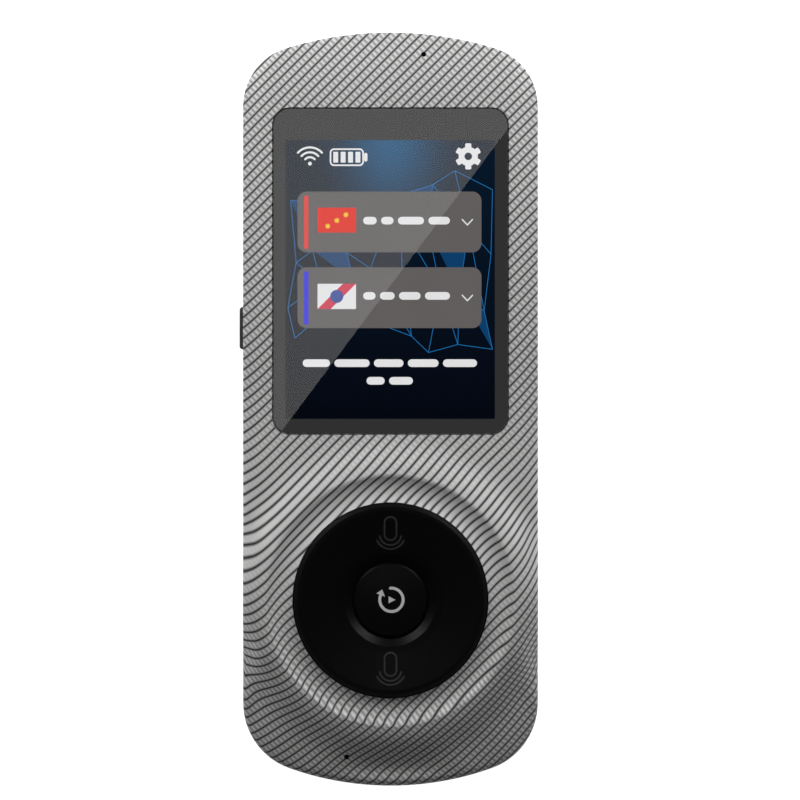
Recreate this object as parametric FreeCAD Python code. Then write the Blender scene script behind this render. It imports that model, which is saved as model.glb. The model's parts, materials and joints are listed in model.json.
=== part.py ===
import FreeCAD, Part
import math
import os
from FreeCAD import Placement, Rotation, Vector

# Handheld translator: a slim body with a touch screen above a round key dial.
# Lengths are in millimetres and angles in degrees. The device lies on its back:
# +Z leaves the screen, +Y points to the top end, and the origin is on the back
# face in the middle of the body's outline.

# Body outline, seen from the front
body_width = 51.8
body_length = 132.3
top_end_radius = 62.0
top_corner_radius = 10.7
bottom_end_radius = 53.0
bottom_corner_radius = 12.1

# Body shells
parting_height = 5.0
face_height = 12.4
wall = 1.5
rear_edge_radius = 3.5
inner_bevel = 1.5
rim_radius = 1.2
tongue_thickness = 0.7
tongue_height = 1.0
tongue_gap = 0.05
clip_width = 5.0
clip_depth = 0.3
clip_height = 0.4
clip_above_parting = 0.35
clip_stations = (-42.0, -4.0, 42.0)

# Fall of the front face towards the sides and the ends
side_fall_width = 5.0
side_fall_drop = 1.8
low_fall_width = 15.9
low_fall_drop = 3.2
low_fall_reach = 40.0
top_fall_length = 12.8
top_fall_drop = 2.0
bottom_fall_length = 16.0
bottom_fall_drop = 2.2
surface_margin = 1.5
edge_ceiling = 8.5
low_ceiling = 9.6
low_ceiling_inset = 4.0
screen_ceiling = 10.9
screen_ceiling_inset = 6.0
surface_step = 3.4

# Touch screen
glass_width_share = 0.7973
glass_length_share = 0.43235
glass_corner = 3.0
glass_thickness = 0.9
glass_edge_bevel = 0.15
glass_from_top_share = 0.10091
glass_gap = 0.12
adhesive_thickness = 0.15
adhesive_setback = 0.15
ledge_width = 1.1
ledge_thickness = 1.15
ledge_frame = 1.4
window_corner = 0.35
ribbon_notch_gap = 0.15
touch_thickness = 0.2
stack_gap = 0.12
panel_thickness = 1.2
panel_side_gap = 0.15
driver_ledge = 2.6
light_guide_thickness = 0.9
light_guide_setback = 0.3
tray_wall = 0.3
tray_lip = 0.8

# Key dial
dial_from_bottom_share = 0.24641
dial_radius = 17.0
dial_gap = 0.2
crest_radius = 21.9
crest_rise = 1.3
crest_rounding = 1.0
flank_gap = 0.3
dish_arc_radius = 5.2
dish_valley_radius = 18.8
collar_radius = 22.9
collar_thickness = 2.5
key_edge_rise = 0.85
key_edge_bevel = 0.6
key_edge_shoulder = 1.2
well_radius = 9.4
well_rise = 0.25
well_depth = 0.85
well_step_share = 0.3
key_plate_thickness = 0.9
key_skirt = 1.6
key_flange_width = 1.0
key_flange_thickness = 0.6
key_tilt = 1.5
tilt_clearance = 0.13
button_radius = 6.55
button_gap = 0.25
button_rise = 0.25
button_dome = 0.25
button_edge_bevel = 0.35
button_flange_width = 0.85
button_flange_thickness = 0.4
button_stroke = 0.3
stem_radius = 1.6
running_gap = 0.05
nub_radius = 1.1
nub_offset = 11.0
trunnion_radius = 0.7
trunnion_drop = 0.5
trunnion_length = 3.0
lug_gap = 0.15
lug_width = 1.2
saddle_width = 1.6
saddle_half_breadth = 1.7
saddle_rise = 0.2
carrier_radius = 22.6
carrier_thickness = 0.9
dome_radius = 2.5
dome_height = 0.5
dome_thickness = 0.12
dome_crown_radius = 1.3
dome_window_gap = 0.4
bridge_radius = 4.2
bridge_thickness = 0.6
sleeve_wall = 1.0
sleeve_spare = 0.4

# Main board and its fixings
board_bottom = 7.0
board_thickness = 1.0
board_setback = 0.6
boss_radius = 1.9
fixing_circle = 20.6
top_fixing_x = 17.5
top_fixing_from_end = 8.15
screw_radius = 0.8
screw_gap = 0.03
screw_hole_radius = 1.0
screw_head_radius = 1.5
screw_head_height = 0.8
screw_length = 3.4
screw_pocket_spare = 0.3

# Processor corner of the board
can_width = 27.0
can_length = 13.0
can_height = 1.6
can_wall = 0.25
can_corner = 1.0
can_from_top = 12.7
chip_height = 0.9
processor_side = 10.0
memory_width = 8.0
memory_length = 10.0
chip_pitch = 12.0
power_chip_side = 5.0
power_chip_x = 5.0
power_chip_below_battery = 6.0

# Battery
battery_width_share = 0.695
battery_length_share = 0.378
battery_thickness = 4.6
battery_edge_radius = 1.4
battery_from_top_share = 0.21164
battery_pad_thickness = 0.2
battery_pad_setback = 4.0
bay_gap = 0.3
bay_wall = 0.8
bay_height = 1.6
rib_height = 1.2
protection_width = 20.0
protection_length = 3.0
protection_thickness = 1.2
ribbon_thickness = 0.2
battery_ribbon_width = 6.0
battery_connector_from_cell = 7.0
connector_height = 0.8
connector_length = 2.4

# Loudspeaker behind the dial
speaker_width = 22.0
speaker_length = 15.0
speaker_corner = 2.0
speaker_rim = 1.4
speaker_height = 3.0
speaker_gap = 0.1
magnet_width = 14.0
magnet_length = 9.0
magnet_height = 1.4
cone_rise = 1.2
cone_thickness = 0.2
mesh_thickness = 0.1
gasket_thickness = 0.5
speaker_wall_height = 2.4
grille_slot_length = 9.0
grille_slot_width = 1.1
grille_pitch = 2.2
grille_rows = 8
contact_width = 1.0
contact_offset = 4.0
contact_reach = 1.4

# Microphones
mic_width = 3.0
mic_length = 2.2
mic_height = 1.0
boot_radius = 1.7
boot_height = 0.8
boot_pocket_gap = 0.3
mic_port_radius = 0.45
upper_mic_x = 5.8
upper_mic_from_top = 3.9
lower_mic_x = -7.7
lower_mic_from_bottom = 5.1

# Charging socket at the bottom end
socket_width = 8.94
socket_height = 3.16
socket_length = 7.35
socket_wall = 0.25
socket_recess = 0.4
socket_gap = 0.2
tongue_plate_width = 6.7
tongue_plate_thickness = 0.7
tongue_plate_setback = 1.0
tongue_block_length = 1.6

# Side key on the left edge
side_key_y = 14.2
side_key_length = 7.5
side_key_height = 2.2
side_key_proud = 0.65
side_key_stroke = 0.3
side_key_bevel = 0.35
side_key_gap = 0.12
side_flange_margin = 0.9
side_flange_thickness = 0.6
side_flange_gap = 0.1
switch_depth = 2.4
switch_length = 4.6
switch_height = 1.6
plunger_length = 1.8
plunger_height = 0.8
plunger_depth = 1.0
notch_gap = 0.3

# Ribbons, antenna and cushion
display_ribbon_width = 18.0
touch_ribbon_width = 8.0
ribbon_reach = 4.2
cushion_width = 3.0
cushion_setback = 1.2
antenna_width = 22.0
antenna_track = 1.2
antenna_pitch = 2.6
antenna_rows = 5
antenna_thickness = 0.15
antenna_from_top = 8.0

# Sizes that follow from the ones above
half_width = body_width / 2.0
end_y = body_length / 2.0
board_top = board_bottom + board_thickness
board_inset = wall + board_setback
glass_width = glass_width_share * body_width
glass_length = glass_length_share * body_length
glass_top_y = end_y - glass_from_top_share * body_length
glass_y = glass_top_y - glass_length / 2.0
glass_bottom_y = glass_top_y - glass_length
glass_underside = face_height - glass_thickness
recess_floor = glass_underside - adhesive_thickness
window_width = glass_width - 2.0 * ledge_width
window_length = glass_length - 2.0 * ledge_width
dial_y = dial_from_bottom_share * body_length - end_y
flank_radius = glass_bottom_y - dial_y - flank_gap
crest_height = face_height + crest_rise
valley_height = crest_height - dish_arc_radius + math.sqrt(
    dish_arc_radius ** 2 - (crest_radius - dish_valley_radius) ** 2)
opening_radius = dial_radius + dial_gap
lip_height = valley_height + dish_arc_radius - math.sqrt(
    dish_arc_radius ** 2 - (opening_radius - dish_valley_radius) ** 2)
collar_underside = crest_height - collar_thickness
flange_radius = dial_radius + key_flange_width
tilt_rise = flange_radius * math.sin(math.radians(key_tilt))
flange_top = collar_underside - tilt_rise - tilt_clearance
flange_bottom = flange_top - key_flange_thickness
key_edge_top = lip_height + key_edge_rise
well_top = lip_height + well_rise
well_bottom = well_top - well_depth
key_hole_radius = button_radius + button_gap
key_underside = well_bottom - key_plate_thickness
carrier_top = board_top + carrier_thickness
trunnion_z = flange_bottom - trunnion_drop
lug_inner = dial_radius - key_skirt + lug_width / 3.0
dome_top = board_top + dome_height
button_top = well_bottom + button_rise
button_flange_top = key_underside - key_hole_radius * math.sin(math.radians(key_tilt)) - tilt_clearance
speaker_y = dial_y
speaker_front = wall + mesh_thickness + gasket_thickness
socket_z = board_bottom - socket_height / 2.0
socket_mouth_y = socket_recess - end_y
side_key_z = board_bottom + board_thickness / 2.0
side_flange_half_height = (side_key_height + side_flange_margin) / 2.0
mic_top = board_top + mic_height
upper_mic_y = end_y - upper_mic_from_top
lower_mic_y = lower_mic_from_bottom - end_y
battery_width = battery_width_share * body_width
battery_length = battery_length_share * body_length
battery_top_y = end_y - battery_from_top_share * body_length
battery_y = battery_top_y - battery_length / 2.0
battery_bottom = wall + battery_pad_thickness
top_fixing_y = end_y - top_fixing_from_end
dial_fixing_offset = fixing_circle * math.sqrt(0.5)
dial_fixings = [(sx * dial_fixing_offset, dial_y + sy * dial_fixing_offset) for sx in (-1, 1) for sy in (-1, 1)]
top_fixings = [(sx * top_fixing_x, top_fixing_y) for sx in (-1, 1)]


# Plain solids

def box(x0, x1, y0, y1, z0, z1):
    """Block between two corners."""
    return Part.makeBox(x1 - x0, y1 - y0, z1 - z0, Vector(x0, y0, z0))


def cylinder(radius, bottom, top, x=0.0, y=0.0):
    """Upright cylinder."""
    return Part.makeCylinder(radius, top - bottom, Vector(x, y, bottom))


def ring(outer, inner, bottom, top, x=0.0, y=0.0):
    """Upright tube."""
    return cylinder(outer, bottom, top, x, y).cut(cylinder(inner, bottom, top, x, y))


def rounded_plate(width, length, corner, bottom, top, x=0.0, y=0.0):
    """Flat plate with four round corners, centred at (x, y)."""
    plate = box(x - width / 2.0, x + width / 2.0, y - length / 2.0, y + length / 2.0, bottom, top)
    upright = [e for e in plate.Edges if e.BoundBox.XLength + e.BoundBox.YLength < 1e-6]
    return plate.makeFillet(corner, upright)


def capsule(length, height, depth):
    """Bar with round ends: length along X, height along Y, and depth along Z from the origin."""
    radius = height / 2.0
    reach = length / 2.0 - radius
    low_left = Vector(-reach, -radius, 0)
    low_right = Vector(reach, -radius, 0)
    high_right = Vector(reach, radius, 0)
    high_left = Vector(-reach, radius, 0)
    edges = [
        Part.makeLine(low_left, low_right),
        Part.Arc(low_right, Vector(reach + radius, 0, 0), high_right).toShape(),
        Part.makeLine(high_right, high_left),
        Part.Arc(high_left, Vector(-reach - radius, 0, 0), low_left).toShape(),
    ]
    return Part.Face(Part.Wire(edges)).extrude(Vector(0, 0, depth))


def placed(shape, x, y, z, axis=Vector(0, 0, 1), angle=0.0):
    """Copy of a shape, turned about an axis through the origin and then moved."""
    copy = shape.copy()
    copy.Placement = Placement(Vector(x, y, z), Rotation(axis, angle))
    return copy


def revolved(edges, y):
    """Solid turned about the upright axis at (0, y) from edges in the XZ plane."""
    solid = Part.Face(Part.Wire(edges)).revolve(Vector(0, 0, 0), Vector(0, 0, 1), 360)
    solid.translate(Vector(0, y, 0))
    return solid


def at(radius, height):
    """Point of a turned profile."""
    return Vector(radius, 0, height)


def polyline(points):
    """Straight edges through the points."""
    return [Part.makeLine(a, b) for a, b in zip(points, points[1:])]


def ribbon(path, width, thickness, x=0.0):
    """Flat cable: a centre path of (y, z) corners in line, with mitred folds, as wide as width along X."""
    half = thickness / 2.0
    left = []
    right = []
    for index, (y, z) in enumerate(path):
        before = path[max(index - 1, 0)]
        after = path[min(index + 1, len(path) - 1)]
        into = Vector(0, y - before[0], z - before[1]) if index else Vector(0, after[0] - y, after[1] - z)
        out = Vector(0, after[0] - y, after[1] - z) if index < len(path) - 1 else into
        into.normalize()
        out.normalize()
        turn = math.acos(max(-1.0, min(1.0, into.dot(out))))
        middle = into + out
        middle.normalize()
        reach = half / math.cos(turn / 2.0)
        side = Vector(0, -middle.z, middle.y) * reach
        left.append(Vector(x - width / 2.0, y, z) + side)
        right.append(Vector(x - width / 2.0, y, z) - side)
    boundary = Part.makePolygon(left + right[::-1] + left[:1])
    return Part.Face(boundary).extrude(Vector(width, 0, 0))


def joined(shapes):
    """One solid from pieces that overlap."""
    whole = shapes[0].fuse(shapes[1:])
    return whole.removeSplitter()


# Body form

def arch_depth(end_radius, corner_radius):
    """Distance from the body's end to where its straight side starts."""
    across = half_width - corner_radius
    return end_radius - math.sqrt((end_radius - corner_radius) ** 2 - across ** 2)


def arch(end_radius, corner_radius, inset, sign):
    """One end of the outline: a wide arc between two corner arcs, all tangent, from the right side to the left."""
    side_y = end_y - arch_depth(end_radius, corner_radius)
    centre_x = half_width - corner_radius
    centre_y = end_y - end_radius
    lean = math.atan2(centre_x, side_y - centre_y)
    corner = corner_radius - inset
    wide = end_radius - inset
    half_lean = math.pi / 4.0 + lean / 2.0
    meet = Vector(centre_x + corner * math.sin(lean), sign * (side_y + corner * math.cos(lean)), 0)
    bulge = Vector(centre_x + corner * math.sin(half_lean), sign * (side_y + corner * math.cos(half_lean)), 0)
    start = Vector(half_width - inset, sign * side_y, 0)
    tip = Vector(0, sign * (centre_y + wide), 0)
    mirrored = [Vector(-v.x, v.y, 0) for v in (meet, bulge, start)]
    return [
        Part.Arc(start, bulge, meet).toShape(),
        Part.Arc(meet, tip, mirrored[0]).toShape(),
        Part.Arc(mirrored[0], mirrored[1], mirrored[2]).toShape(),
    ]


def body_prism(inset, bottom, top):
    """The body's outline, drawn in by inset, as an upright block."""
    x = half_width - inset
    side_top_y = end_y - arch_depth(top_end_radius, top_corner_radius)
    side_bottom_y = arch_depth(bottom_end_radius, bottom_corner_radius) - end_y
    edges = arch(top_end_radius, top_corner_radius, inset, 1)
    edges += arch(bottom_end_radius, bottom_corner_radius, inset, -1)
    for side in (-x, x):
        edges.append(Part.makeLine(Vector(side, side_bottom_y, 0), Vector(side, side_top_y, 0)))
    face = Part.Face(Part.Wire(Part.__sortEdges__(edges)))
    face.translate(Vector(0, 0, bottom))
    return face.extrude(Vector(0, 0, top - bottom))


def rear_block(inset):
    """The rear half of the body, drawn in all round by inset, as a solid block with its rounded rear edge."""
    block = body_prism(inset, inset, parting_height)
    rear_edges = [e for e in block.Edges if e.BoundBox.ZMax < inset + 1e-6]
    return block.makeFillet(rear_edge_radius - inset, rear_edges)


def eased(share):
    """Smooth step from 0 to 1."""
    share = min(max(share, 0.0), 1.0)
    return share * share * (3.0 - 2.0 * share)


def fall(distance, length, drop):
    """Drop that grows with the square of the distance past where the fall starts."""
    return drop * (max(distance, 0.0) / length) ** 2


def face_level(x, y):
    """Height of the crowned front face, with the mound that rises to the dial's crest."""
    low = eased((glass_bottom_y - y) / low_fall_reach)
    width = side_fall_width + low * (low_fall_width - side_fall_width)
    drop = side_fall_drop + low * (low_fall_drop - side_fall_drop)
    base = face_height - fall(abs(x) - half_width + width, width, drop)
    base -= fall(y - end_y + top_fall_length, top_fall_length, top_fall_drop)
    base -= fall(-y - end_y + bottom_fall_length, bottom_fall_length, bottom_fall_drop)
    radius = math.hypot(x, y - dial_y)
    share = eased((flank_radius - radius) / (flank_radius - crest_radius))
    return base + share * (crest_height - base)


def face_block():
    """Everything under the crowned front face."""
    reach_x = half_width + surface_margin
    reach_y = end_y + surface_margin
    count_x = int(round(2.0 * reach_x / surface_step)) + 1
    count_y = int(round(2.0 * reach_y / surface_step)) + 1
    xs = [reach_x * (2.0 * i / (count_x - 1) - 1.0) for i in range(count_x)]
    ys = [reach_y * (2.0 * j / (count_y - 1) - 1.0) for j in range(count_y)]
    surface = Part.BSplineSurface()
    surface.interpolate([[Vector(x, y, face_level(x, y)) for y in ys] for x in xs])
    seam = min(range(count_y), key=lambda j: abs(ys[j] - glass_bottom_y - surface_step))
    u_knots = surface.getUKnots()
    v_knots = surface.getVKnots()
    patches = []
    for first, last in ((0, seam), (seam, -1)):
        patch = surface.copy()
        patch.segment(u_knots[0], u_knots[-1], v_knots[first], v_knots[last])
        patches.append(patch.toShape().extrude(Vector(0, 0, -2.0 * crest_height)))
    return patches[0].fuse(patches[1])


def dish_arc_point(radius):
    """Point of the dish round the dial, which is an arc in section."""
    offset = radius - dish_valley_radius
    return at(radius, valley_height + dish_arc_radius - math.sqrt(dish_arc_radius ** 2 - offset ** 2))


def dish_cutter():
    """Material taken out round the dial: a round trough between the crest and the dial's lip."""
    inner = dish_arc_point(opening_radius - dial_gap)
    outer = dish_arc_point(crest_radius + crest_rounding)
    top = 2.0 * crest_height
    arc = Part.Arc(inner, dish_arc_point(dish_valley_radius), outer).toShape()
    return revolved([arc] + polyline([outer, at(outer.x, top), at(0, top), at(0, inner.z), inner]), dial_y)


def front_housing():
    """Upper shell: crowned face with the screen's recess, the dial's sculpted collar and the bosses."""
    tall = 2.0 * crest_height
    shell = body_prism(0.0, parting_height, tall).common(face_block()).Solids[0]
    rim = [e for e in shell.Edges if e.BoundBox.ZMin > parting_height + rim_radius]
    shell = shell.makeFillet(rim_radius, rim)
    shell = shell.cut(dish_cutter())
    crest = [e for e in shell.Edges
             if abs(e.CenterOfMass.y - dial_y) < 1.0 and e.Length > 6.0 * crest_radius]
    shell = shell.makeFillet(crest_rounding, crest)
    shell = shell.cut(body_prism(wall, parting_height - 1.0, edge_ceiling))
    shell = shell.cut(body_prism(low_ceiling_inset, parting_height, low_ceiling))
    screen_end = glass_bottom_y - ledge_frame
    screen_hollow = body_prism(screen_ceiling_inset, parting_height, screen_ceiling)
    shell = shell.cut(screen_hollow.common(box(-half_width, half_width, screen_end, end_y, 0.0, tall)))
    shell = shell.cut(cylinder(collar_radius, parting_height, collar_underside, 0.0, dial_y))

    # Rebate for the rear cover's tongue, and the pockets for its clips
    rebate = wall - tongue_thickness - tongue_gap
    shell = shell.cut(body_prism(rebate, parting_height - 1.0, parting_height + tongue_height + tongue_gap))
    for side in (-1, 1):
        for y in clip_stations:
            shell = shell.cut(clip_block(side, y, tongue_gap))

    # Ledge frame round the screen's window, and the recess for the glass
    frame = rounded_plate(glass_width + 2.0 * ledge_frame, glass_length + 2.0 * ledge_frame, glass_corner,
                          recess_floor - ledge_thickness, screen_ceiling + wall / 2.0, 0.0, glass_y)
    shell = shell.fuse(frame)
    recess = rounded_plate(glass_width + 2.0 * glass_gap, glass_length + 2.0 * glass_gap,
                           glass_corner + glass_gap, recess_floor, tall, 0.0, glass_y)
    window = rounded_plate(window_width, window_length, window_corner,
                           parting_height, tall, 0.0, glass_y)
    shell = shell.cut(recess).cut(window)

    # The dial's opening, and the bosses for the fixings
    shell = shell.cut(cylinder(opening_radius, parting_height, tall, 0.0, dial_y))
    for x, y in dial_fixings:
        shell = shell.fuse(cylinder(boss_radius, carrier_top, collar_underside + wall / 2.0, x, y))
    for x, y in top_fixings:
        shell = shell.fuse(cylinder(boss_radius, board_top, screen_ceiling + wall / 4.0, x, y))
    pilot_top = board_bottom + screw_length + screw_pocket_spare
    for x, y in dial_fixings + top_fixings:
        shell = shell.cut(cylinder(screw_radius + screw_gap, board_top, pilot_top, x, y))

    # Ports: two microphones, the charging socket and the side key
    for x, y in ((upper_mic_x, upper_mic_y), (lower_mic_x, lower_mic_y)):
        shell = shell.cut(cylinder(boot_radius + boot_pocket_gap, board_top, mic_top + boot_height, x, y))
        shell = shell.cut(cylinder(mic_port_radius, board_top, tall, x, y))
    shell = shell.cut(socket_opening())
    shell = shell.cut(side_key_bar(side_key_gap, half_width - wall - 1.0, half_width + 1.0))
    pocket_y = side_key_length / 2.0 + side_flange_margin + notch_gap
    pocket_top = side_key_z + side_flange_half_height + side_flange_gap
    shell = shell.cut(box(wall - half_width, low_ceiling_inset - half_width, side_key_y - pocket_y,
                          side_key_y + pocket_y, parting_height, pocket_top))

    # Notch in the ledge where the touch ribbon folds down
    notch = touch_ribbon_width / 2.0 + ribbon_notch_gap
    fold_y = glass_y - window_length / 2.0
    shell = shell.cut(box(-notch, notch, fold_y - ribbon_thickness, fold_y + ledge_width,
                          parting_height, recess_floor))
    return shell.removeSplitter()


def clip_block(side, y, spare):
    """One snap hook on the rear cover's tongue; with spare it is the pocket that the hook snaps into."""
    root = half_width - wall + tongue_thickness / 2.0
    tip = half_width - wall + tongue_thickness + clip_depth + spare
    bottom = parting_height + clip_above_parting - spare
    top = bottom + clip_height + 2.0 * spare
    half = clip_width / 2.0 + spare
    return box(min(side * root, side * tip), max(side * root, side * tip), y - half, y + half, bottom, top)


def socket_opening():
    """Hole through the end wall for the charging plug, half of it in each shell."""
    bar = capsule(socket_width + 2.0 * socket_gap, socket_height + 2.0 * socket_gap, 2.0 * wall + 1.0)
    return placed(bar, 0.0, 2.0 * wall - end_y, socket_z, Vector(1, 0, 0), 90.0)


def side_key_bar(gap, inner_x, outer_x):
    """Bar with round ends through the left wall, as long as the side key plus a gap all round."""
    bar = capsule(side_key_length + 2.0 * gap, side_key_height + 2.0 * gap, outer_x - inner_x)
    turned = placed(bar, 0.0, 0.0, 0.0, Vector(0, 0, 1), 90.0)
    upright = placed(Part.Compound([turned]), 0.0, 0.0, 0.0, Vector(0, 1, 0), -90.0).Solids[0]
    upright.translate(Vector(-inner_x, side_key_y, side_key_z))
    return upright


def rear_cover():
    """Lower shell: flat back with round edges, the grille, the tongue with its clips and the inner ribs."""
    solid = rear_block(0.0)
    hollow = body_prism(wall, wall, parting_height)
    floor_edges = [e for e in hollow.Edges if e.BoundBox.ZMax < wall + 1e-6]
    cover = solid.cut(hollow.makeChamfer(inner_bevel, floor_edges))
    tongue = body_prism(wall - tongue_thickness, parting_height - wall, parting_height + tongue_height)
    tongue = tongue.cut(body_prism(wall, 0.0, 2.0 * parting_height))
    cover = cover.fuse(tongue)
    for side in (-1, 1):
        for y in clip_stations:
            cover = cover.fuse(clip_block(side, y, 0.0))

    # Battery bay, speaker ring and stiffening ribs stand on the floor
    rib_reach = rear_block(wall / 2.0)
    bay = box(-battery_width / 2.0 - bay_gap - bay_wall, battery_width / 2.0 + bay_gap + bay_wall,
              battery_y - battery_length / 2.0 - bay_gap - bay_wall, battery_top_y + bay_gap,
              wall / 2.0, wall + bay_height)
    bay = bay.cut(box(-battery_width / 2.0 - bay_gap, battery_width / 2.0 + bay_gap,
                      battery_y - battery_length / 2.0 - bay_gap, battery_top_y + bay_gap,
                      0.0, wall + bay_height))
    cover = cover.fuse(bay)
    pen = rounded_plate(speaker_width + 2.0 * (bay_gap + bay_wall), speaker_length + 2.0 * (bay_gap + bay_wall),
                        speaker_corner + bay_wall, wall / 2.0, wall + speaker_wall_height, 0.0, speaker_y)
    cover = cover.fuse(pen.cut(rounded_plate(speaker_width + 2.0 * bay_gap, speaker_length + 2.0 * bay_gap,
                                             speaker_corner, wall / 2.0, wall + speaker_wall_height,
                                             0.0, speaker_y)))
    rib_start = battery_width / 2.0 + bay_gap + bay_wall / 2.0
    for side in (-1, 1):
        for y in clip_stations[1:]:
            rib = box(min(side * rib_start, side * half_width), max(side * rib_start, side * half_width),
                      y - bay_wall / 2.0, y + bay_wall / 2.0, wall / 2.0, wall + rib_height)
            cover = cover.fuse(rib.common(rib_reach))

    # Grille of round-ended slots in front of the loudspeaker
    for row in range(grille_rows):
        x = (row - (grille_rows - 1) / 2.0) * grille_pitch
        cover = cover.cut(placed(capsule(grille_slot_length, grille_slot_width, wall + 1.0),
                                 x, speaker_y, -0.5, Vector(0, 0, 1), 90.0))
    return cover.cut(socket_opening()).removeSplitter()


# Touch screen

def screen_glass():
    """Cover glass, flush with the face, with a bevelled upper edge."""
    plate = rounded_plate(glass_width, glass_length, glass_corner, glass_underside, face_height, 0.0, glass_y)
    return plate.makeChamfer(glass_edge_bevel, [e for e in plate.Edges if e.BoundBox.ZMin > face_height - 1e-6])


def screen_adhesive():
    """Tape frame between the glass and the ledge."""
    frame = rounded_plate(glass_width - 2.0 * adhesive_setback, glass_length - 2.0 * adhesive_setback,
                          glass_corner - adhesive_setback, recess_floor, glass_underside, 0.0, glass_y)
    return frame.cut(rounded_plate(window_width, window_length, window_corner,
                                   recess_floor, glass_underside, 0.0, glass_y))


tray_width = window_width - 2.0 * stack_gap
tray_length = window_length - 2.0 * stack_gap
panel_width = tray_width - 2.0 * tray_wall - 2.0 * panel_side_gap
panel_length = tray_length - 2.0 * tray_wall - 2.0 * panel_side_gap
touch_bottom = glass_underside - touch_thickness
panel_bottom = touch_bottom - panel_thickness
guide_bottom = panel_bottom - light_guide_thickness
tray_bottom = guide_bottom - tray_wall
panel_top_y = glass_y + panel_length / 2.0
tray_top_y = glass_y + tray_length / 2.0
tray_bottom_y = glass_y - tray_length / 2.0


def touch_sensor():
    """Clear film with the touch grid, bonded to the back of the glass."""
    return box(-tray_width / 2.0, tray_width / 2.0, tray_bottom_y, panel_top_y,
               touch_bottom, glass_underside)


def lcd_panel():
    """Two sheets of display glass: the rear one runs on past the front one and carries the driver."""
    middle = panel_bottom + panel_thickness / 2.0
    rear = box(-panel_width / 2.0, panel_width / 2.0, glass_y - panel_length / 2.0, panel_top_y,
               panel_bottom, middle)
    front = box(-panel_width / 2.0, panel_width / 2.0, glass_y - panel_length / 2.0,
                panel_top_y - driver_ledge, middle, touch_bottom)
    return joined([rear, front])


def light_guide():
    """Clear plate that spreads the backlight behind the panel."""
    half = panel_width / 2.0 - light_guide_setback
    reach = panel_length / 2.0 - light_guide_setback
    return box(-half, half, glass_y - reach, glass_y + reach, guide_bottom, panel_bottom)


def backlight_tray():
    """Folded metal tray under the panel, open where the ribbon leaves at its top end."""
    top = panel_bottom + tray_lip
    tray = box(-tray_width / 2.0, tray_width / 2.0, tray_bottom_y, tray_top_y, tray_bottom, top)
    tray = tray.cut(box(tray_wall - tray_width / 2.0, tray_width / 2.0 - tray_wall,
                        tray_bottom_y + tray_wall, tray_top_y - tray_wall, guide_bottom, top))
    notch = display_ribbon_width / 2.0 + panel_side_gap
    return tray.cut(box(-notch, notch, tray_top_y - tray_wall, tray_top_y, tray_bottom, top))


def display_ribbon():
    """Flat cable from the panel's ledge, folded down past the tray and out to its connector."""
    ledge = panel_bottom + panel_thickness / 2.0 + ribbon_thickness / 2.0
    fold_y = tray_top_y - ribbon_thickness / 2.0
    floor = board_top + connector_height + ribbon_thickness / 2.0
    path = [(panel_top_y - driver_ledge / 2.0, ledge), (fold_y, ledge), (fold_y, floor),
            (tray_top_y + ribbon_reach, floor)]
    return ribbon(path, display_ribbon_width, ribbon_thickness)


def display_connector():
    """Low connector on the board under the end of the display's ribbon."""
    half = display_ribbon_width / 2.0
    end = tray_top_y + ribbon_reach
    return box(-half, half, end - connector_length, end, board_top, board_top + connector_height)


def touch_ribbon():
    """Flat cable from the touch film, folded down past the tray's lower end."""
    start = touch_bottom - ribbon_thickness / 2.0
    fold_y = tray_bottom_y - ribbon_thickness / 2.0
    floor = board_top + connector_height + ribbon_thickness / 2.0
    path = [(tray_bottom_y + tray_wall / 2.0, start), (fold_y, start), (fold_y, floor),
            (tray_bottom_y - ribbon_reach, floor)]
    return ribbon(path, touch_ribbon_width, ribbon_thickness)


def touch_connector():
    """Low connector on the board under the end of the touch ribbon."""
    half = touch_ribbon_width / 2.0
    end = tray_bottom_y - ribbon_reach
    return box(-half, half, end, end + connector_length, board_top, board_top + connector_height)


def display_cushion():
    """Foam frame between the board and the tray."""
    half = tray_width / 2.0 - cushion_setback
    low = tray_bottom_y + cushion_setback
    high = tray_top_y - cushion_setback
    frame = box(-half, half, low, high, board_top, tray_bottom)
    return frame.cut(box(cushion_width - half, half - cushion_width, low + cushion_width,
                         high - cushion_width, board_top, tray_bottom))


# Key dial

def talk_ring():
    """Rocking ring key: dished face, well round the centre button, flange, two nubs and two trunnions."""
    bevel_low = at(dial_radius, key_edge_top - key_edge_bevel)
    bevel_high = at(dial_radius - key_edge_bevel, key_edge_top)
    shoulder = at(dial_radius - key_edge_shoulder, key_edge_top)
    well_step = at((well_radius + key_hole_radius) / 2.0, well_top - well_depth * well_step_share)
    face = [bevel_low, bevel_high, shoulder, at(well_radius, well_top), well_step]
    skirt_in = dial_radius - key_skirt
    profile = polyline(face + [
        at(key_hole_radius, well_bottom),
        at(key_hole_radius, key_underside),
        at(skirt_in, key_underside),
        at(skirt_in, flange_bottom),
        at(flange_radius, flange_bottom),
        at(flange_radius, flange_top),
        at(dial_radius, flange_top),
        bevel_low,
    ])
    pieces = [revolved(profile, dial_y)]
    for sy in (-1, 1):
        pieces.append(cylinder(nub_radius, dome_top + running_gap, key_underside + key_plate_thickness / 2.0,
                               0.0, dial_y + sy * nub_offset))
    for sx in (-1, 1):
        inner = lug_inner
        outer = inner + lug_width
        pieces.append(box(min(sx * inner, sx * outer), max(sx * inner, sx * outer),
                          dial_y - trunnion_radius, dial_y + trunnion_radius,
                          trunnion_z, flange_bottom + key_flange_thickness / 2.0))
        start = outer - trunnion_length - lug_width
        pin = Part.makeCylinder(trunnion_radius, trunnion_length + lug_width,
                                Vector(sx * start, dial_y, trunnion_z), Vector(sx, 0, 0))
        pieces.append(pin)
    return joined(pieces)


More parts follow.
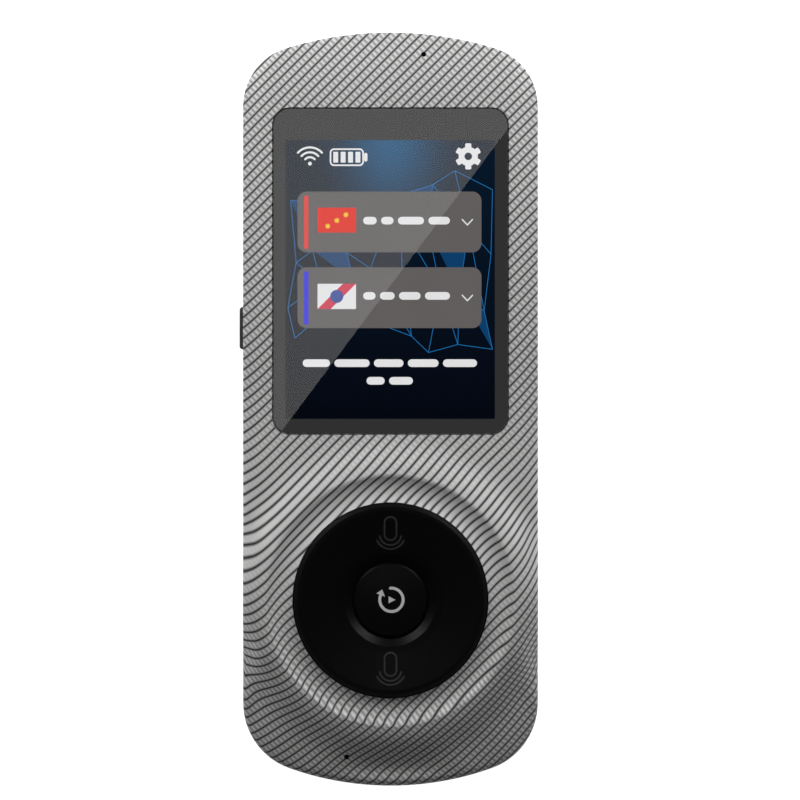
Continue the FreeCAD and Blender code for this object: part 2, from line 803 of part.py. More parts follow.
def centre_button():
    """Round button in the ring's well, with a retaining flange and a stem down to its dome."""
    bevel_low = at(button_radius, button_top - button_edge_bevel)
    bevel_high = at(button_radius - button_edge_bevel, button_top)
    apex = at(0, button_top + button_dome)
    sphere = (bevel_high.x ** 2 + button_dome ** 2) / (2.0 * button_dome)
    middle = at(bevel_high.x / 2.0, apex.z - sphere + math.sqrt(sphere ** 2 - bevel_high.x ** 2 / 4.0))
    crown = Part.Arc(bevel_high, middle, apex).toShape()
    flange = button_radius + button_flange_width
    flange_under = button_flange_top - button_flange_thickness
    under = polyline([
        apex,
        at(0, dome_top + running_gap),
        at(stem_radius, dome_top + running_gap),
        at(stem_radius, flange_under),
        at(flange, flange_under),
        at(flange, button_flange_top),
        at(button_radius, button_flange_top),
        bevel_low,
        bevel_high,
    ])
    return revolved([crown] + under, dial_y)


def dial_carrier():
    """Plate on the board that guides the button's stem, bears the ring's trunnions and clears the domes."""
    plate = cylinder(carrier_radius, board_top, carrier_top, 0.0, dial_y)
    bridge = cylinder(bridge_radius, carrier_top, carrier_top + bridge_thickness, 0.0, dial_y)
    sleeve_top = button_flange_top - button_flange_thickness - button_stroke - sleeve_spare
    sleeve = cylinder(stem_radius + running_gap + sleeve_wall, carrier_top, sleeve_top, 0.0, dial_y)
    pieces = [plate, bridge, sleeve]
    saddle_out = lug_inner - lug_gap
    saddle_in = saddle_out - saddle_width
    for sx in (-1, 1):
        pieces.append(box(min(sx * saddle_in, sx * saddle_out), max(sx * saddle_in, sx * saddle_out),
                          dial_y - saddle_half_breadth, dial_y + saddle_half_breadth,
                          board_top, trunnion_z + saddle_rise))
    carrier = joined(pieces)
    pocket = dome_radius + dome_window_gap
    for offset in (-nub_offset, 0.0, nub_offset):
        carrier = carrier.cut(cylinder(pocket, board_top, carrier_top, 0.0, dial_y + offset))
    carrier = carrier.cut(cylinder(stem_radius + running_gap, board_top, sleeve_top, 0.0, dial_y))
    bearing = trunnion_radius + running_gap
    for sx in (-1, 1):
        start = saddle_in - trunnion_length
        stop = lug_inner + lug_width + lug_gap
        carrier = carrier.cut(Part.makeCylinder(bearing, stop - start, Vector(sx * start, dial_y, trunnion_z),
                                                Vector(sx, 0, 0)))
        carrier = carrier.cut(box(min(sx * start, sx * stop), max(sx * start, sx * stop),
                                  dial_y - bearing, dial_y + bearing, trunnion_z, trunnion_z + saddle_rise))
    for x, y in dial_fixings:
        carrier = carrier.cut(cylinder(screw_hole_radius, board_top, carrier_top, x, y))
    return carrier


def snap_dome(offset):
    """Sprung metal dome on the board: a sloping wall that rises to a flat crown."""
    sheet = polyline([
        at(dome_radius, board_top),
        at(dome_crown_radius, dome_top),
        at(0, dome_top),
        at(0, dome_top - dome_thickness),
        at(dome_crown_radius - dome_thickness, dome_top - dome_thickness),
        at(dome_radius - 2.0 * dome_thickness, board_top),
        at(dome_radius, board_top),
    ])
    return revolved(sheet, dial_y + offset)


# Board and what is soldered to it

def main_board():
    """Printed board along the whole body, notched for the side key and drilled for the fixings."""
    board = body_prism(board_inset, board_bottom, board_top)
    for x, y in dial_fixings + top_fixings:
        board = board.cut(cylinder(screw_hole_radius, board_bottom, board_top, x, y))
    flange_half = side_key_length / 2.0 + side_flange_margin + notch_gap
    flange_x = half_width - wall - side_flange_gap - side_flange_thickness - side_key_stroke - notch_gap
    board = board.cut(box(-half_width, -flange_x, side_key_y - flange_half, side_key_y + flange_half,
                          board_bottom, board_top))
    switch_half = switch_length / 2.0 + notch_gap / 2.0
    switch_in = switch_front + switch_depth + notch_gap / 2.0
    return board.cut(box(-half_width, switch_in, side_key_y - switch_half, side_key_y + switch_half,
                         board_bottom, board_top))


plunger_tip = side_flange_gap + side_flange_thickness + wall - half_width
switch_front = plunger_tip + plunger_length / 2.0


def processor_shield():
    """Drawn metal can over the processor on the board's rear side, open towards the board."""
    y = end_y - can_from_top
    bottom = board_bottom - can_height
    can = rounded_plate(can_width, can_length, can_corner, bottom, board_bottom, 0.0, y)
    return can.cut(rounded_plate(can_width - 2.0 * can_wall, can_length - 2.0 * can_wall,
                                 can_corner - can_wall, bottom + can_wall, board_bottom, 0.0, y))


def chip(width, length, x, y):
    """Flat component on the board's rear side."""
    return box(x - width / 2.0, x + width / 2.0, y - length / 2.0, y + length / 2.0,
               board_bottom - chip_height, board_bottom)


def fixing_screws():
    """Six equal pan-head screws from the rear, as one group."""
    screws = []
    for x, y in dial_fixings + top_fixings:
        head = cylinder(screw_head_radius, board_bottom - screw_head_height, board_bottom, x, y)
        shank = cylinder(screw_radius, board_bottom - screw_head_height / 2.0,
                         board_bottom + screw_length, x, y)
        screws.append(joined([head, shank]))
    return Part.Compound(screws)


# Battery

def battery_cell():
    """Pouch cell with round long edges."""
    cell = box(-battery_width / 2.0, battery_width / 2.0, battery_top_y - battery_length, battery_top_y,
               battery_bottom, battery_bottom + battery_thickness)
    return cell.makeFillet(battery_edge_radius, [e for e in cell.Edges if e.BoundBox.YLength > battery_length / 2.0])


def battery_pad():
    """Double-sided pad between the cell and the rear cover."""
    half = battery_width / 2.0 - battery_pad_setback
    return box(-half, half, battery_y - battery_length / 2.0 + battery_pad_setback,
               battery_top_y - battery_pad_setback, wall, battery_bottom)


protection_z = battery_bottom + battery_thickness / 2.0


def battery_protection_board():
    """Small board folded against the cell's top end."""
    return box(-protection_width / 2.0, protection_width / 2.0, battery_top_y,
               battery_top_y + protection_length, protection_z - protection_thickness / 2.0,
               protection_z + protection_thickness / 2.0)


def battery_ribbon():
    """Flat cable from the protection board up to the battery connector."""
    start_z = protection_z + protection_thickness / 2.0 + ribbon_thickness / 2.0
    stop_z = board_bottom - connector_height - ribbon_thickness / 2.0
    bend = battery_top_y + protection_length + ribbon_thickness
    path = [(battery_top_y + protection_length / 2.0, start_z), (bend, start_z), (bend, stop_z),
            (battery_top_y + battery_connector_from_cell, stop_z)]
    return ribbon(path, battery_ribbon_width, ribbon_thickness)


def battery_connector():
    """Connector on the board's rear side, over the ribbon's end."""
    half = battery_ribbon_width / 2.0
    end = battery_top_y + battery_connector_from_cell
    return box(-half, half, end - connector_length, end, board_bottom - connector_height, board_bottom)


# Loudspeaker

frame_top = speaker_front + speaker_height
back_plate = frame_top - speaker_rim / 2.0


def speaker_plate(inset, bottom, top):
    """Slab with the loudspeaker's outline drawn in by inset."""
    return rounded_plate(speaker_width - 2.0 * inset, speaker_length - 2.0 * inset,
                         max(speaker_corner - inset, speaker_corner / 4.0), bottom, top, 0.0, speaker_y)


def speaker_frame():
    """Basket of the loudspeaker: an open tray with the magnet's seat through its back."""
    frame = speaker_plate(0.0, speaker_front, frame_top).cut(speaker_plate(speaker_rim, speaker_front, back_plate))
    seat_x = magnet_width / 2.0 + speaker_gap
    seat_y = magnet_length / 2.0 + speaker_gap
    return frame.cut(box(-seat_x, seat_x, speaker_y - seat_y, speaker_y + seat_y, back_plate, frame_top))


def speaker_magnet():
    """Magnet block in the basket's seat."""
    return box(-magnet_width / 2.0, magnet_width / 2.0, speaker_y - magnet_length / 2.0,
               speaker_y + magnet_length / 2.0, frame_top - magnet_height, frame_top)


def speaker_cone():
    """Thin diaphragm: a flat surround at the basket's rim and a raised, sloping middle."""
    floor = speaker_front
    half_x = speaker_width / 2.0 - speaker_rim - speaker_gap
    half_y = speaker_length / 2.0 - speaker_rim - speaker_gap

    def tapered(lift):
        foot = Part.makePlane(2.0 * half_x - 2.0 * speaker_rim, 2.0 * half_y - 2.0 * speaker_rim,
                              Vector(speaker_rim - half_x, speaker_y + speaker_rim - half_y, floor + lift))
        crown = Part.makePlane(2.0 * half_x - 4.0 * speaker_rim, 2.0 * half_y - 4.0 * speaker_rim,
                               Vector(2.0 * speaker_rim - half_x, speaker_y + 2.0 * speaker_rim - half_y,
                                      floor + lift + cone_rise))
        return Part.makeLoft([foot.OuterWire, crown.OuterWire], True, True)

    sheet = box(-half_x, half_x, speaker_y - half_y, speaker_y + half_y, floor, floor + cone_thickness)
    whole = sheet.fuse(tapered(cone_thickness)).cut(tapered(0.0))
    return whole.removeSplitter()


def speaker_gasket():
    """Foam frame that seals the basket's rim to the grille's mesh."""
    bottom = wall + mesh_thickness
    return speaker_plate(0.0, bottom, speaker_front).cut(speaker_plate(speaker_rim, bottom, speaker_front))


def speaker_mesh():
    """Fine dust mesh over the grille, on the rear cover's floor."""
    return speaker_plate(0.0, wall, wall + mesh_thickness)


def speaker_contacts():
    """Two bent contact springs between the basket and the board."""
    springs = []
    low = frame_top + ribbon_thickness / 2.0
    high = board_bottom - ribbon_thickness / 2.0
    start = speaker_y + speaker_length / 2.0 - speaker_rim
    for sx in (-1, 1):
        path = [(start - contact_reach / 2.0, low), (start + contact_reach / 2.0, low),
                (start - contact_reach / 2.0, (low + high) / 2.0), (start + contact_reach / 2.0, high),
                (start - contact_reach, high)]
        springs.append(ribbon(path, contact_width, ribbon_thickness, sx * contact_offset))
    return Part.Compound(springs)


# Microphones

def microphone(x, y):
    """Small sealed microphone on the board, with its port upwards."""
    body = box(x - mic_width / 2.0, x + mic_width / 2.0, y - mic_length / 2.0, y + mic_length / 2.0,
               board_top, board_top + mic_height)
    return body.cut(cylinder(mic_port_radius, board_top + mic_height / 2.0, board_top + mic_height, x, y))


def microphone_boot(x, y):
    """Rubber tube from the microphone up to the front housing."""
    return ring(boot_radius, mic_port_radius, mic_top, mic_top + boot_height, x, y)


# Charging socket

def socket_shell():
    """Metal shell of the charging socket, open at its mouth."""
    outer = capsule(socket_width, socket_height, socket_length)
    inner = capsule(socket_width - 2.0 * socket_wall, socket_height - 2.0 * socket_wall,
                    socket_length - socket_wall)
    shell = outer.cut(inner.translated(Vector(0, 0, socket_wall)))
    return placed(shell, 0.0, socket_mouth_y + socket_length, socket_z, Vector(1, 0, 0), 90.0)


def socket_tongue():
    """Contact tongue in the socket, on a block at its back."""
    back = socket_mouth_y + socket_length - socket_wall
    plate = box(-tongue_plate_width / 2.0, tongue_plate_width / 2.0, socket_mouth_y + tongue_plate_setback,
                back, socket_z - tongue_plate_thickness / 2.0, socket_z + tongue_plate_thickness / 2.0)
    block_height = socket_height / 2.0 - 2.0 * socket_wall
    block = box(-tongue_plate_width / 2.0, tongue_plate_width / 2.0, back - tongue_block_length, back,
                socket_z - block_height, socket_z + block_height)
    return joined([plate, block])


# Side key

def side_key_cap():
    """Side key: a bar with round ends through the wall, and a flange that keeps it in."""
    flange_x = half_width - wall - side_flange_gap
    bar = side_key_bar(0.0, flange_x - side_flange_thickness / 2.0, half_width + side_key_proud)
    outer = [e for e in bar.Edges if e.BoundBox.XMax < -half_width - side_key_proud + 1e-6]
    bar = bar.makeChamfer(side_key_bevel, outer)
    half_y = side_key_length / 2.0 + side_flange_margin
    flange = box(-flange_x, side_flange_thickness - flange_x, side_key_y - half_y, side_key_y + half_y,
                 side_key_z - side_flange_half_height, side_key_z + side_flange_half_height)
    return joined([bar, flange])


def side_switch():
    """Side switch let into the board's edge, with a well for its plunger."""
    body = box(switch_front, switch_front + switch_depth, side_key_y - switch_length / 2.0,
               side_key_y + switch_length / 2.0, side_key_z - switch_height / 2.0,
               side_key_z + switch_height / 2.0)
    reach = plunger_length / 2.0 + side_key_stroke + running_gap
    half_y = plunger_depth + running_gap
    half_z = plunger_height / 2.0 + running_gap
    return body.cut(box(switch_front, switch_front + reach, side_key_y - half_y, side_key_y + half_y,
                        side_key_z - half_z, side_key_z + half_z))


def side_switch_plunger():
    """Plunger between the side key and the switch."""
    return box(plunger_tip, plunger_tip + plunger_length, side_key_y - plunger_depth,
               side_key_y + plunger_depth, side_key_z - plunger_height / 2.0,
               side_key_z + plunger_height / 2.0)


# Antenna

def antenna_film():
    """Meander of foil on the rear cover's floor at the top end."""
    top = end_y - antenna_from_top
    half = antenna_width / 2.0
    tracks = []
    for row in range(antenna_rows):
        y = top - row * antenna_pitch
        tracks.append(box(-half, half, y - antenna_track, y, wall, wall + antenna_thickness))
        if row:
            side = half - antenna_track if row % 2 else -half
            tracks.append(box(side, side + antenna_track, y - antenna_track, y + antenna_pitch,
                              wall, wall + antenna_thickness))
    return joined(tracks)


nodes = {
    "front_housing": front_housing,
    "rear_cover": rear_cover,
    "screen_glass": screen_glass,
    "screen_adhesive": screen_adhesive,
    "touch_sensor": touch_sensor,
    "lcd_panel": lcd_panel,
    "light_guide": light_guide,
    "backlight_tray": backlight_tray,
    "display_ribbon": display_ribbon,
    "display_connector": display_connector,
    "touch_ribbon": touch_ribbon,
    "touch_connector": touch_connector,
    "display_cushion": display_cushion,
    "talk_ring": talk_ring,
    "centre_button": centre_button,
    "dial_carrier": dial_carrier,
    "upper_talk_dome": lambda: snap_dome(nub_offset),
    "lower_talk_dome": lambda: snap_dome(-nub_offset),
    "centre_dome": lambda: snap_dome(0.0),
    "main_board": main_board,
    "processor_shield": processor_shield,
    "processor_chip": lambda: chip(processor_side, processor_side, -chip_pitch / 2.0, end_y - can_from_top),
    "memory_chip": lambda: chip(memory_width, memory_length, chip_pitch / 2.0, end_y - can_from_top),
    "power_chip": lambda: chip(power_chip_side, power_chip_side, power_chip_x,
                               battery_top_y - battery_length - power_chip_below_battery),
    "fixing_screws": fixing_screws,
    "battery_cell": battery_cell,
    "battery_pad": battery_pad,
    "battery_protection_board": battery_protection_board,
    "battery_ribbon": battery_ribbon,
    "battery_connector": battery_connector,
    "speaker_frame": speaker_frame,
    "speaker_magnet": speaker_magnet,
    "speaker_cone": speaker_cone,
    "speaker_gasket": speaker_gasket,
    "speaker_mesh": speaker_mesh,
    "speaker_contacts": speaker_contacts,
    "upper_microphone": lambda: microphone(upper_mic_x, upper_mic_y),
    "upper_microphone_boot": lambda: microphone_boot(upper_mic_x, upper_mic_y),
    "lower_microphone": lambda: microphone(lower_mic_x, lower_mic_y),
    "lower_microphone_boot": lambda: microphone_boot(lower_mic_x, lower_mic_y),
    "socket_shell": socket_shell,
    "socket_tongue": socket_tongue,
    "side_key_cap": side_key_cap,
    "side_switch": side_switch,
    "side_switch_plunger": side_switch_plunger,
    "antenna_film": antenna_film,
}

os.makedirs("parts", exist_ok=True)
for name, build in nodes.items():
    shape = build()
    shape.exportStep("parts/" + name + ".step")
    box_now = shape.BoundBox
    print("%-26s solids %d volume %9.2f  z %6.2f to %6.2f" % (
        name, len(shape.Solids), shape.Volume, box_now.ZMin, box_now.ZMax))
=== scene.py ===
import json
import math

import bmesh
import bpy
from bpy.props import FloatProperty, FloatVectorProperty, PointerProperty
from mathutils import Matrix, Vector
from mathutils.bvhtree import BVHTree


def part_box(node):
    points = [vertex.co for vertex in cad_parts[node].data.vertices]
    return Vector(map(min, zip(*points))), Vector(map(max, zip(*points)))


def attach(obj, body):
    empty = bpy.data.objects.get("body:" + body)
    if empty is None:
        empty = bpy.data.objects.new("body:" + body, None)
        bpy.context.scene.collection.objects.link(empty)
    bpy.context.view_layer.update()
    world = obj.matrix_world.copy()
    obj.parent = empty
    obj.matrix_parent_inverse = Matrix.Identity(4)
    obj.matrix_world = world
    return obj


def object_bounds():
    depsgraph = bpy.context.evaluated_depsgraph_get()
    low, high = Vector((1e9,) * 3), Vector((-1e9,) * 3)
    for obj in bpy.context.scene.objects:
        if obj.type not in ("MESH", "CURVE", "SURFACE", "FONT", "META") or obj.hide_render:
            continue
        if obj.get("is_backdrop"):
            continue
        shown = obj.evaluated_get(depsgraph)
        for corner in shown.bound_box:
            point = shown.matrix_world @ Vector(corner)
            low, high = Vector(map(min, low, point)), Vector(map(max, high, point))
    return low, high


bl_info = {
    "name": "Handheld translator looks",
    "version": (1, 0, 0),
    "blender": (4, 5, 0),
    "location": "3D view > Sidebar > Translator",
    "description": "Finishes, screen picture, key symbols and studio for a handheld translator",
    "category": "Object",
}

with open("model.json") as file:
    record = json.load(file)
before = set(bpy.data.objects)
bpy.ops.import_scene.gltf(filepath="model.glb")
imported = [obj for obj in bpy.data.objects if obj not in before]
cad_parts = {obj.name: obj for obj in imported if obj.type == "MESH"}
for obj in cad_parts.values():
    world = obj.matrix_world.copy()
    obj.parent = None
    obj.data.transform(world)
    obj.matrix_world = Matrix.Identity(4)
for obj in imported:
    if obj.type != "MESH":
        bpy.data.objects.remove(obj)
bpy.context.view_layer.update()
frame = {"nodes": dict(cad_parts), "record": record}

MM = 0.001
BODY = "housing"
RING_BODY = "talk_ring_body"
BUTTON_BODY = "centre_button_body"
BLACK = (0.0, 0.0, 0.0, 1.0)
WHITE = (1.0, 1.0, 1.0, 1.0)

# Height of a printed symbol over its key
PRINT_LIFT = 0.012 * MM


# Colours of the record's finishes

def slot_colour(slot):
    """Base colour that the record gives a finish, as red, green and blue."""
    for material in frame["record"]["materials"]:
        if material["slot"] == slot:
            return tuple(material["base_color"][:3])
    raise RuntimeError("the record has no finish named " + slot)


def node_slot(node):
    """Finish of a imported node."""
    for part in frame["record"]["subparts"]:
        if part["node"] == node:
            return part["material_slot"]
    raise RuntimeError("the record has no node named " + node)


# Settings that a user would change

class HousingSettings(bpy.types.PropertyGroup):
    """Metallic paint of the two shells and the fine slanting lines in it."""
    paint: FloatVectorProperty(
        name="Paint", description="Colour of the metallic paint", subtype="COLOR",
        size=3, min=0.0, max=1.0, default=(0.80, 0.795, 0.79))
    line: FloatVectorProperty(
        name="Lines", description="Colour of the fine dark lines", subtype="COLOR",
        size=3, min=0.0, max=1.0, default=(0.012, 0.012, 0.012))
    line_strength: FloatProperty(
        name="Line strength", description="How far the lines cover the paint",
        subtype="FACTOR", min=0.0, max=1.0, default=1.0)
    line_share: FloatProperty(
        name="Line width", description="Width of a line as a share of the line pitch",
        subtype="FACTOR", min=0.0, max=1.0, default=0.6)
    cross_strength: FloatProperty(
        name="Crossing strength", description="How far the finer crossing lines cover the paint",
        subtype="FACTOR", min=0.0, max=1.0, default=0.65)
    cross_rate: FloatProperty(
        name="Crossing rate", description="Crossing lines for each slanting line", default=1.6)
    cross_rest: FloatProperty(
        name="Crossing rest", description="Place along the body where the crossing lines fade out",
        unit="LENGTH", default=-20.0 * MM)
    cross_reach: FloatProperty(
        name="Crossing reach", description="Distance over which the crossing lines come back",
        unit="LENGTH", default=28.0 * MM)
    line_pitch: FloatProperty(
        name="Line pitch", description="Distance from line to line on the flat face",
        unit="LENGTH", default=1.334 * MM)
    lean: FloatProperty(
        name="Lean", default=6000.0,
        description="How strongly the lines bend with the height of the face, per metre squared")
    lean_start: FloatProperty(
        name="Lean start", description="Place along the body above which the lines run straight",
        unit="LENGTH", default=34.9 * MM)
    wall_top: FloatProperty(
        name="Wall top", description="Height under which the lines slant down the walls",
        unit="LENGTH", default=9.0 * MM)
    roughness: FloatProperty(
        name="Roughness", description="Roughness of the paint",
        subtype="FACTOR", min=0.0, max=1.0, default=0.58)


class ScreenSettings(bpy.types.PropertyGroup):
    """Picture behind the cover glass."""
    picture_width: FloatProperty(
        name="Picture width", description="Width of the lit picture", unit="LENGTH", default=36.72 * MM)
    picture_length: FloatProperty(
        name="Picture length", description="Length of the lit picture", unit="LENGTH", default=48.9 * MM)
    picture_left: FloatProperty(
        name="Picture left", description="Left edge of the picture", unit="LENGTH", default=-18.41 * MM)
    picture_top: FloatProperty(
        name="Picture top", description="Top edge of the picture", unit="LENGTH", default=47.17 * MM)
    # Faint glow of the dark print behind the glass: painted light in place of the lamp light that would reach
    # it through the glass
    frame_print: FloatVectorProperty(
        name="Frame print", description="Dark print behind the glass, round the picture", subtype="COLOR",
        size=3, min=0.0, max=1.0, default=(0.0305, 0.0305, 0.0305))
    card: FloatVectorProperty(
        name="Cards", description="Colour of the two language cards", subtype="COLOR",
        size=3, min=0.0, max=1.0, default=(0.127, 0.117, 0.117))
    white: FloatVectorProperty(
        name="White marks", description="Colour of the white marks", subtype="COLOR",
        size=3, min=0.0, max=1.0, default=(0.80, 0.80, 0.81))


class DialSettings(bpy.types.PropertyGroup):
    """Black keys and the symbols on them."""
    black: FloatVectorProperty(
        name="Black", description="Colour of the black keys", subtype="COLOR",
        size=3, min=0.0, max=1.0, default=(0.0022, 0.0022, 0.0024))
    shine: FloatProperty(
        name="Shine", description="Strength of the keys' reflections", subtype="FACTOR",
        min=0.0, max=1.0, default=0.22)
    symbol: FloatVectorProperty(
        name="Replay symbol", description="Colour of the printed replay symbol", subtype="COLOR",
        size=3, min=0.0, max=1.0, default=(0.62, 0.62, 0.62))
    symbol_radius: FloatProperty(
        name="Replay symbol radius", description="Radius of the replay symbol's arc", unit="LENGTH",
        default=2.05 * MM)
    microphone_offset: FloatProperty(
        name="Microphone symbols", unit="LENGTH", default=11.9 * MM,
        description="Distance of the two microphone symbols from the dial's centre")
    roughness: FloatProperty(
        name="Roughness", description="Roughness of the black keys", subtype="FACTOR",
        min=0.0, max=1.0, default=0.3)


class StudioSettings(bpy.types.PropertyGroup):
    """Camera, lights and floor."""
    view_width: FloatProperty(
        name="View width", description="Width of the view at the front face", unit="LENGTH",
        default=140.29 * MM)
    lens: FloatProperty(
        name="Lens", description="Focal length of the camera in millimetres", default=500.0)
    key_power: FloatProperty(
        name="Key lights", description="Power of each of the two upper lights in watts", default=0.345)
    fill_power: FloatProperty(
        name="Fill light", description="Power of the wide light overhead in watts", default=0.22)
    glare: FloatProperty(
        name="Glare", description="Brightness of the slanting card that the screen reflects", default=1.5)
    sheen: FloatProperty(
        name="Sheen", default=0.03,
        description="Brightness of the card that the rest of the screen reflects")


# Meshes

def new_object(name, builder, material):
    """Object with one material, made by a function that fills a bmesh."""
    mesh = bpy.data.meshes.new(name)
    form = bmesh.new()
    builder(form)
    form.to_mesh(mesh)
    form.free()
    made = bpy.data.objects.new(name, mesh)
    bpy.context.scene.collection.objects.link(made)
    mesh.materials.append(material)
    return made


def mesh_piece(name, builder, material, body):
    """Piece of the dressed part that rides on a body, its faces all turned the same way."""
    def build(form):
        builder(form)
        bmesh.ops.recalc_face_normals(form, faces=form.faces)

    piece = new_object(name, build, material)
    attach(piece, body)
    return piece


def add_outline(form, points, height):
    """Flat face inside a closed outline."""
    corners = [form.verts.new((x, y, height)) for x, y in points]
    edges = [form.edges.new((a, b)) for a, b in zip(corners, corners[1:] + corners[:1])]
    bmesh.ops.triangle_fill(form, edges=edges, use_beauty=True, use_dissolve=False, normal=(0, 0, 1))


def add_band(form, inner, outer, height, closed=False):
    """Flat strip between two rows of points."""
    low = [form.verts.new((x, y, height)) for x, y in inner]
    high = [form.verts.new((x, y, height)) for x, y in outer]
    last = len(low) if closed else len(low) - 1
    for i in range(last):
        j = (i + 1) % len(low)
        form.faces.new((low[i], low[j], high[j], high[i]))


def circle_points(x, y, radius, start, stop, steps):
    """Points along an arc, with angles in degrees anticlockwise from the right."""
    angles = [math.radians(start + (stop - start) * i / steps) for i in range(steps + 1)]
    return [(x + radius * math.cos(a), y + radius * math.sin(a)) for a in angles]


def add_disc(form, x, y, radius, height, steps=16):
    """Flat disc."""
    add_outline(form, circle_points(x, y, radius, 0, 360, steps)[:-1], height)


def add_arc(form, x, y, radius, width, start, stop, height, steps=40):
    """Flat curved stroke with round ends."""
    add_band(form, circle_points(x, y, radius - width / 2.0, start, stop, steps),
             circle_points(x, y, radius + width / 2.0, start, stop, steps), height)
    for end in (start, stop):
        cx, cy = circle_points(x, y, radius, end, end, 1)[0]
        add_disc(form, cx, cy, width / 2.0, height)


def add_stroke(form, points, width, height):
    """Flat straight strokes with round joints through the points."""
    for (ax, ay), (bx, by) in zip(points, points[1:]):
        length = math.hypot(bx - ax, by - ay)
        sx = -(by - ay) / length * width / 2.0
        sy = (bx - ax) / length * width / 2.0
        add_band(form, [(ax - sx, ay - sy), (bx - sx, by - sy)],
                 [(ax + sx, ay + sy), (bx + sx, by + sy)], height)
    for x, y in points:
        add_disc(form, x, y, width / 2.0, height, steps=12)


def rounded_points(left, right, bottom, top, radius, steps=8):
    """Outline of a rectangle with round corners, anticlockwise from the lower right."""
    corners = [(right - radius, bottom + radius, -90), (right - radius, top - radius, 0),
               (left + radius, top - radius, 90), (left + radius, bottom + radius, 180)]
    points = []
    for x, y, start in corners:
        points += circle_points(x, y, radius, start, start + 90, steps)
    return points


def settle(piece, node):
    """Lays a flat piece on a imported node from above, lifted by the thickness of a print."""
    source = frame["nodes"][node].data
    tree = BVHTree.FromPolygons([v.co for v in source.vertices], [p.vertices for p in source.polygons])
    well_above = 1.0
    for vertex in piece.data.vertices:
        start = Vector((vertex.co.x, vertex.co.y, well_above))
        hit = tree.ray_cast(start, Vector((0, 0, -1)))[0]
        if hit is None:
            raise RuntimeError(piece.name + " reaches past " + node)
        vertex.co.z = hit.z + PRINT_LIFT


# Shader nodes

def add_node(tree, kind, values=None, **settings):
    """Shader node with its settings and its inputs, each a value or another node's socket."""
    node = tree.nodes.new(kind)
    for key, value in settings.items():
        setattr(node, key, value)
    for key, value in (values or {}).items():
        if isinstance(value, bpy.types.NodeSocket):
            tree.links.new(value, node.inputs[key])
        else:
            node.inputs[key].default_value = value
    return node


def maths(tree, operation, *values):
    """Result of a math node."""
    return add_node(tree, "ShaderNodeMath", dict(enumerate(values)), operation=operation).outputs[0]


def mixed(tree, share, first, second):
    """Colour between two colours. The numbers are a mix node's sockets for colours."""
    return add_node(tree, "ShaderNodeMix", {0: share, 6: first, 7: second}, data_type="RGBA").outputs[2]


def noise(tree, place, scale, detail):
    """Noise between 0 and 1."""
    values = {"Vector": place, "Scale": scale, "Detail": detail}
    return add_node(tree, "ShaderNodeTexNoise", values).outputs["Fac"]


def object_place(tree):
    """Place on the piece, in metres."""
    return add_node(tree, "ShaderNodeTexCoord").outputs["Object"]


def axes_of(tree, place):
    """The three parts X, Y and Z of a place."""
    return add_node(tree, "ShaderNodeSeparateXYZ", {"Vector": place}).outputs


def climb(tree, value, start, end, top):
    """Smooth climb from 0 at the start to the top value at the end."""
    values = {"Value": value, "From Min": start, "From Max": end, "To Min": 0.0, "To Max": top}
    return add_node(tree, "ShaderNodeMapRange", values, interpolation_type="SMOOTHSTEP").outputs["Result"]


def add_relief(tree, shader, height, strength, depth):
    """Bump from a height."""
    values = {"Strength": strength, "Distance": depth, "Height": height}
    tree.links.new(add_node(tree, "ShaderNodeBump", values).outputs["Normal"], shader.inputs["Normal"])


def opaque(colour, factor=1.0):
    """Colour made darker or lighter by a factor, with full alpha."""
    return tuple(min(c * factor, 1.0) for c in colour[:3]) + (1.0,)


# Textures

def shared_group(name, control, default, draw):
    """Texture group, made once: a shade for colour and roughness, and a height for bump."""
    if name in bpy.data.node_groups:
        return bpy.data.node_groups[name]
    group = bpy.data.node_groups.new(name, "ShaderNodeTree")
    for label, value in ((control, default), ("Contrast", 0.3)):
        socket = group.interface.new_socket(label, in_out="INPUT", socket_type="NodeSocketFloat")
        socket.default_value = value
    for label in ("Shade", "Height"):
        group.interface.new_socket(label, in_out="OUTPUT", socket_type="NodeSocketFloat")
    source = group.nodes.new("NodeGroupInput").outputs
    result = group.nodes.new("NodeGroupOutput").inputs
    level, height = draw(group, object_place(group), source[control])
    centred = maths(group, "SUBTRACT", level, 0.5)
    shade = maths(group, "ADD", maths(group, "MULTIPLY", centred, source["Contrast"]), 0.5)
    group.links.new(shade, result["Shade"])
    group.links.new(height, result["Height"])
    return group


def draw_grain(group, place, scale):
    """Level and height of fine grain over wide clouds."""
    fine_share, wide_share = 0.7, 0.3
    fine = noise(group, place, scale, detail=2.0)
    wide = noise(group, place, scale=60.0, detail=1.0)
    level = maths(group, "ADD", maths(group, "MULTIPLY", fine, fine_share),
                  maths(group, "MULTIPLY", wide, wide_share))
    return level, fine


def draw_streaks(group, place, length):
    """Level and height of fine streaks along the body."""
    parts = axes_of(group, place)
    stretched = add_node(group, "ShaderNodeCombineXYZ", {
        "X": parts["X"], "Y": maths(group, "MULTIPLY", parts["Y"], length), "Z": parts["Z"]})
    fine = noise(group, stretched.outputs[0], scale=5000.0, detail=2.0)
    return fine, fine


def grain_group():
    """Moulded grain of plastic, rubber and paint."""
    return shared_group("moulded grain", "Scale", 4000.0, draw_grain)


def brushed_group():
    """Streaks of rolled or brushed metal."""
    return shared_group("metal streaks", "Length", 0.04, draw_streaks)


# Materials

def new_material(name, **values):
    """Material with one Principled shader and its plain values."""
    material = bpy.data.materials.new(name)
    material.use_nodes = True
    tree = material.node_tree
    shader = tree.nodes["Principled BSDF"]
    for key, value in values.items():
        shader.inputs[key.replace("_", " ")].default_value = value
    return material, tree, shader


def unlit(name):
    """Material that is black but for its own light."""
    return new_material(name, Base_Color=BLACK, Roughness=1.0, Specular_IOR_Level=0.0,
                        Emission_Strength=1.0)


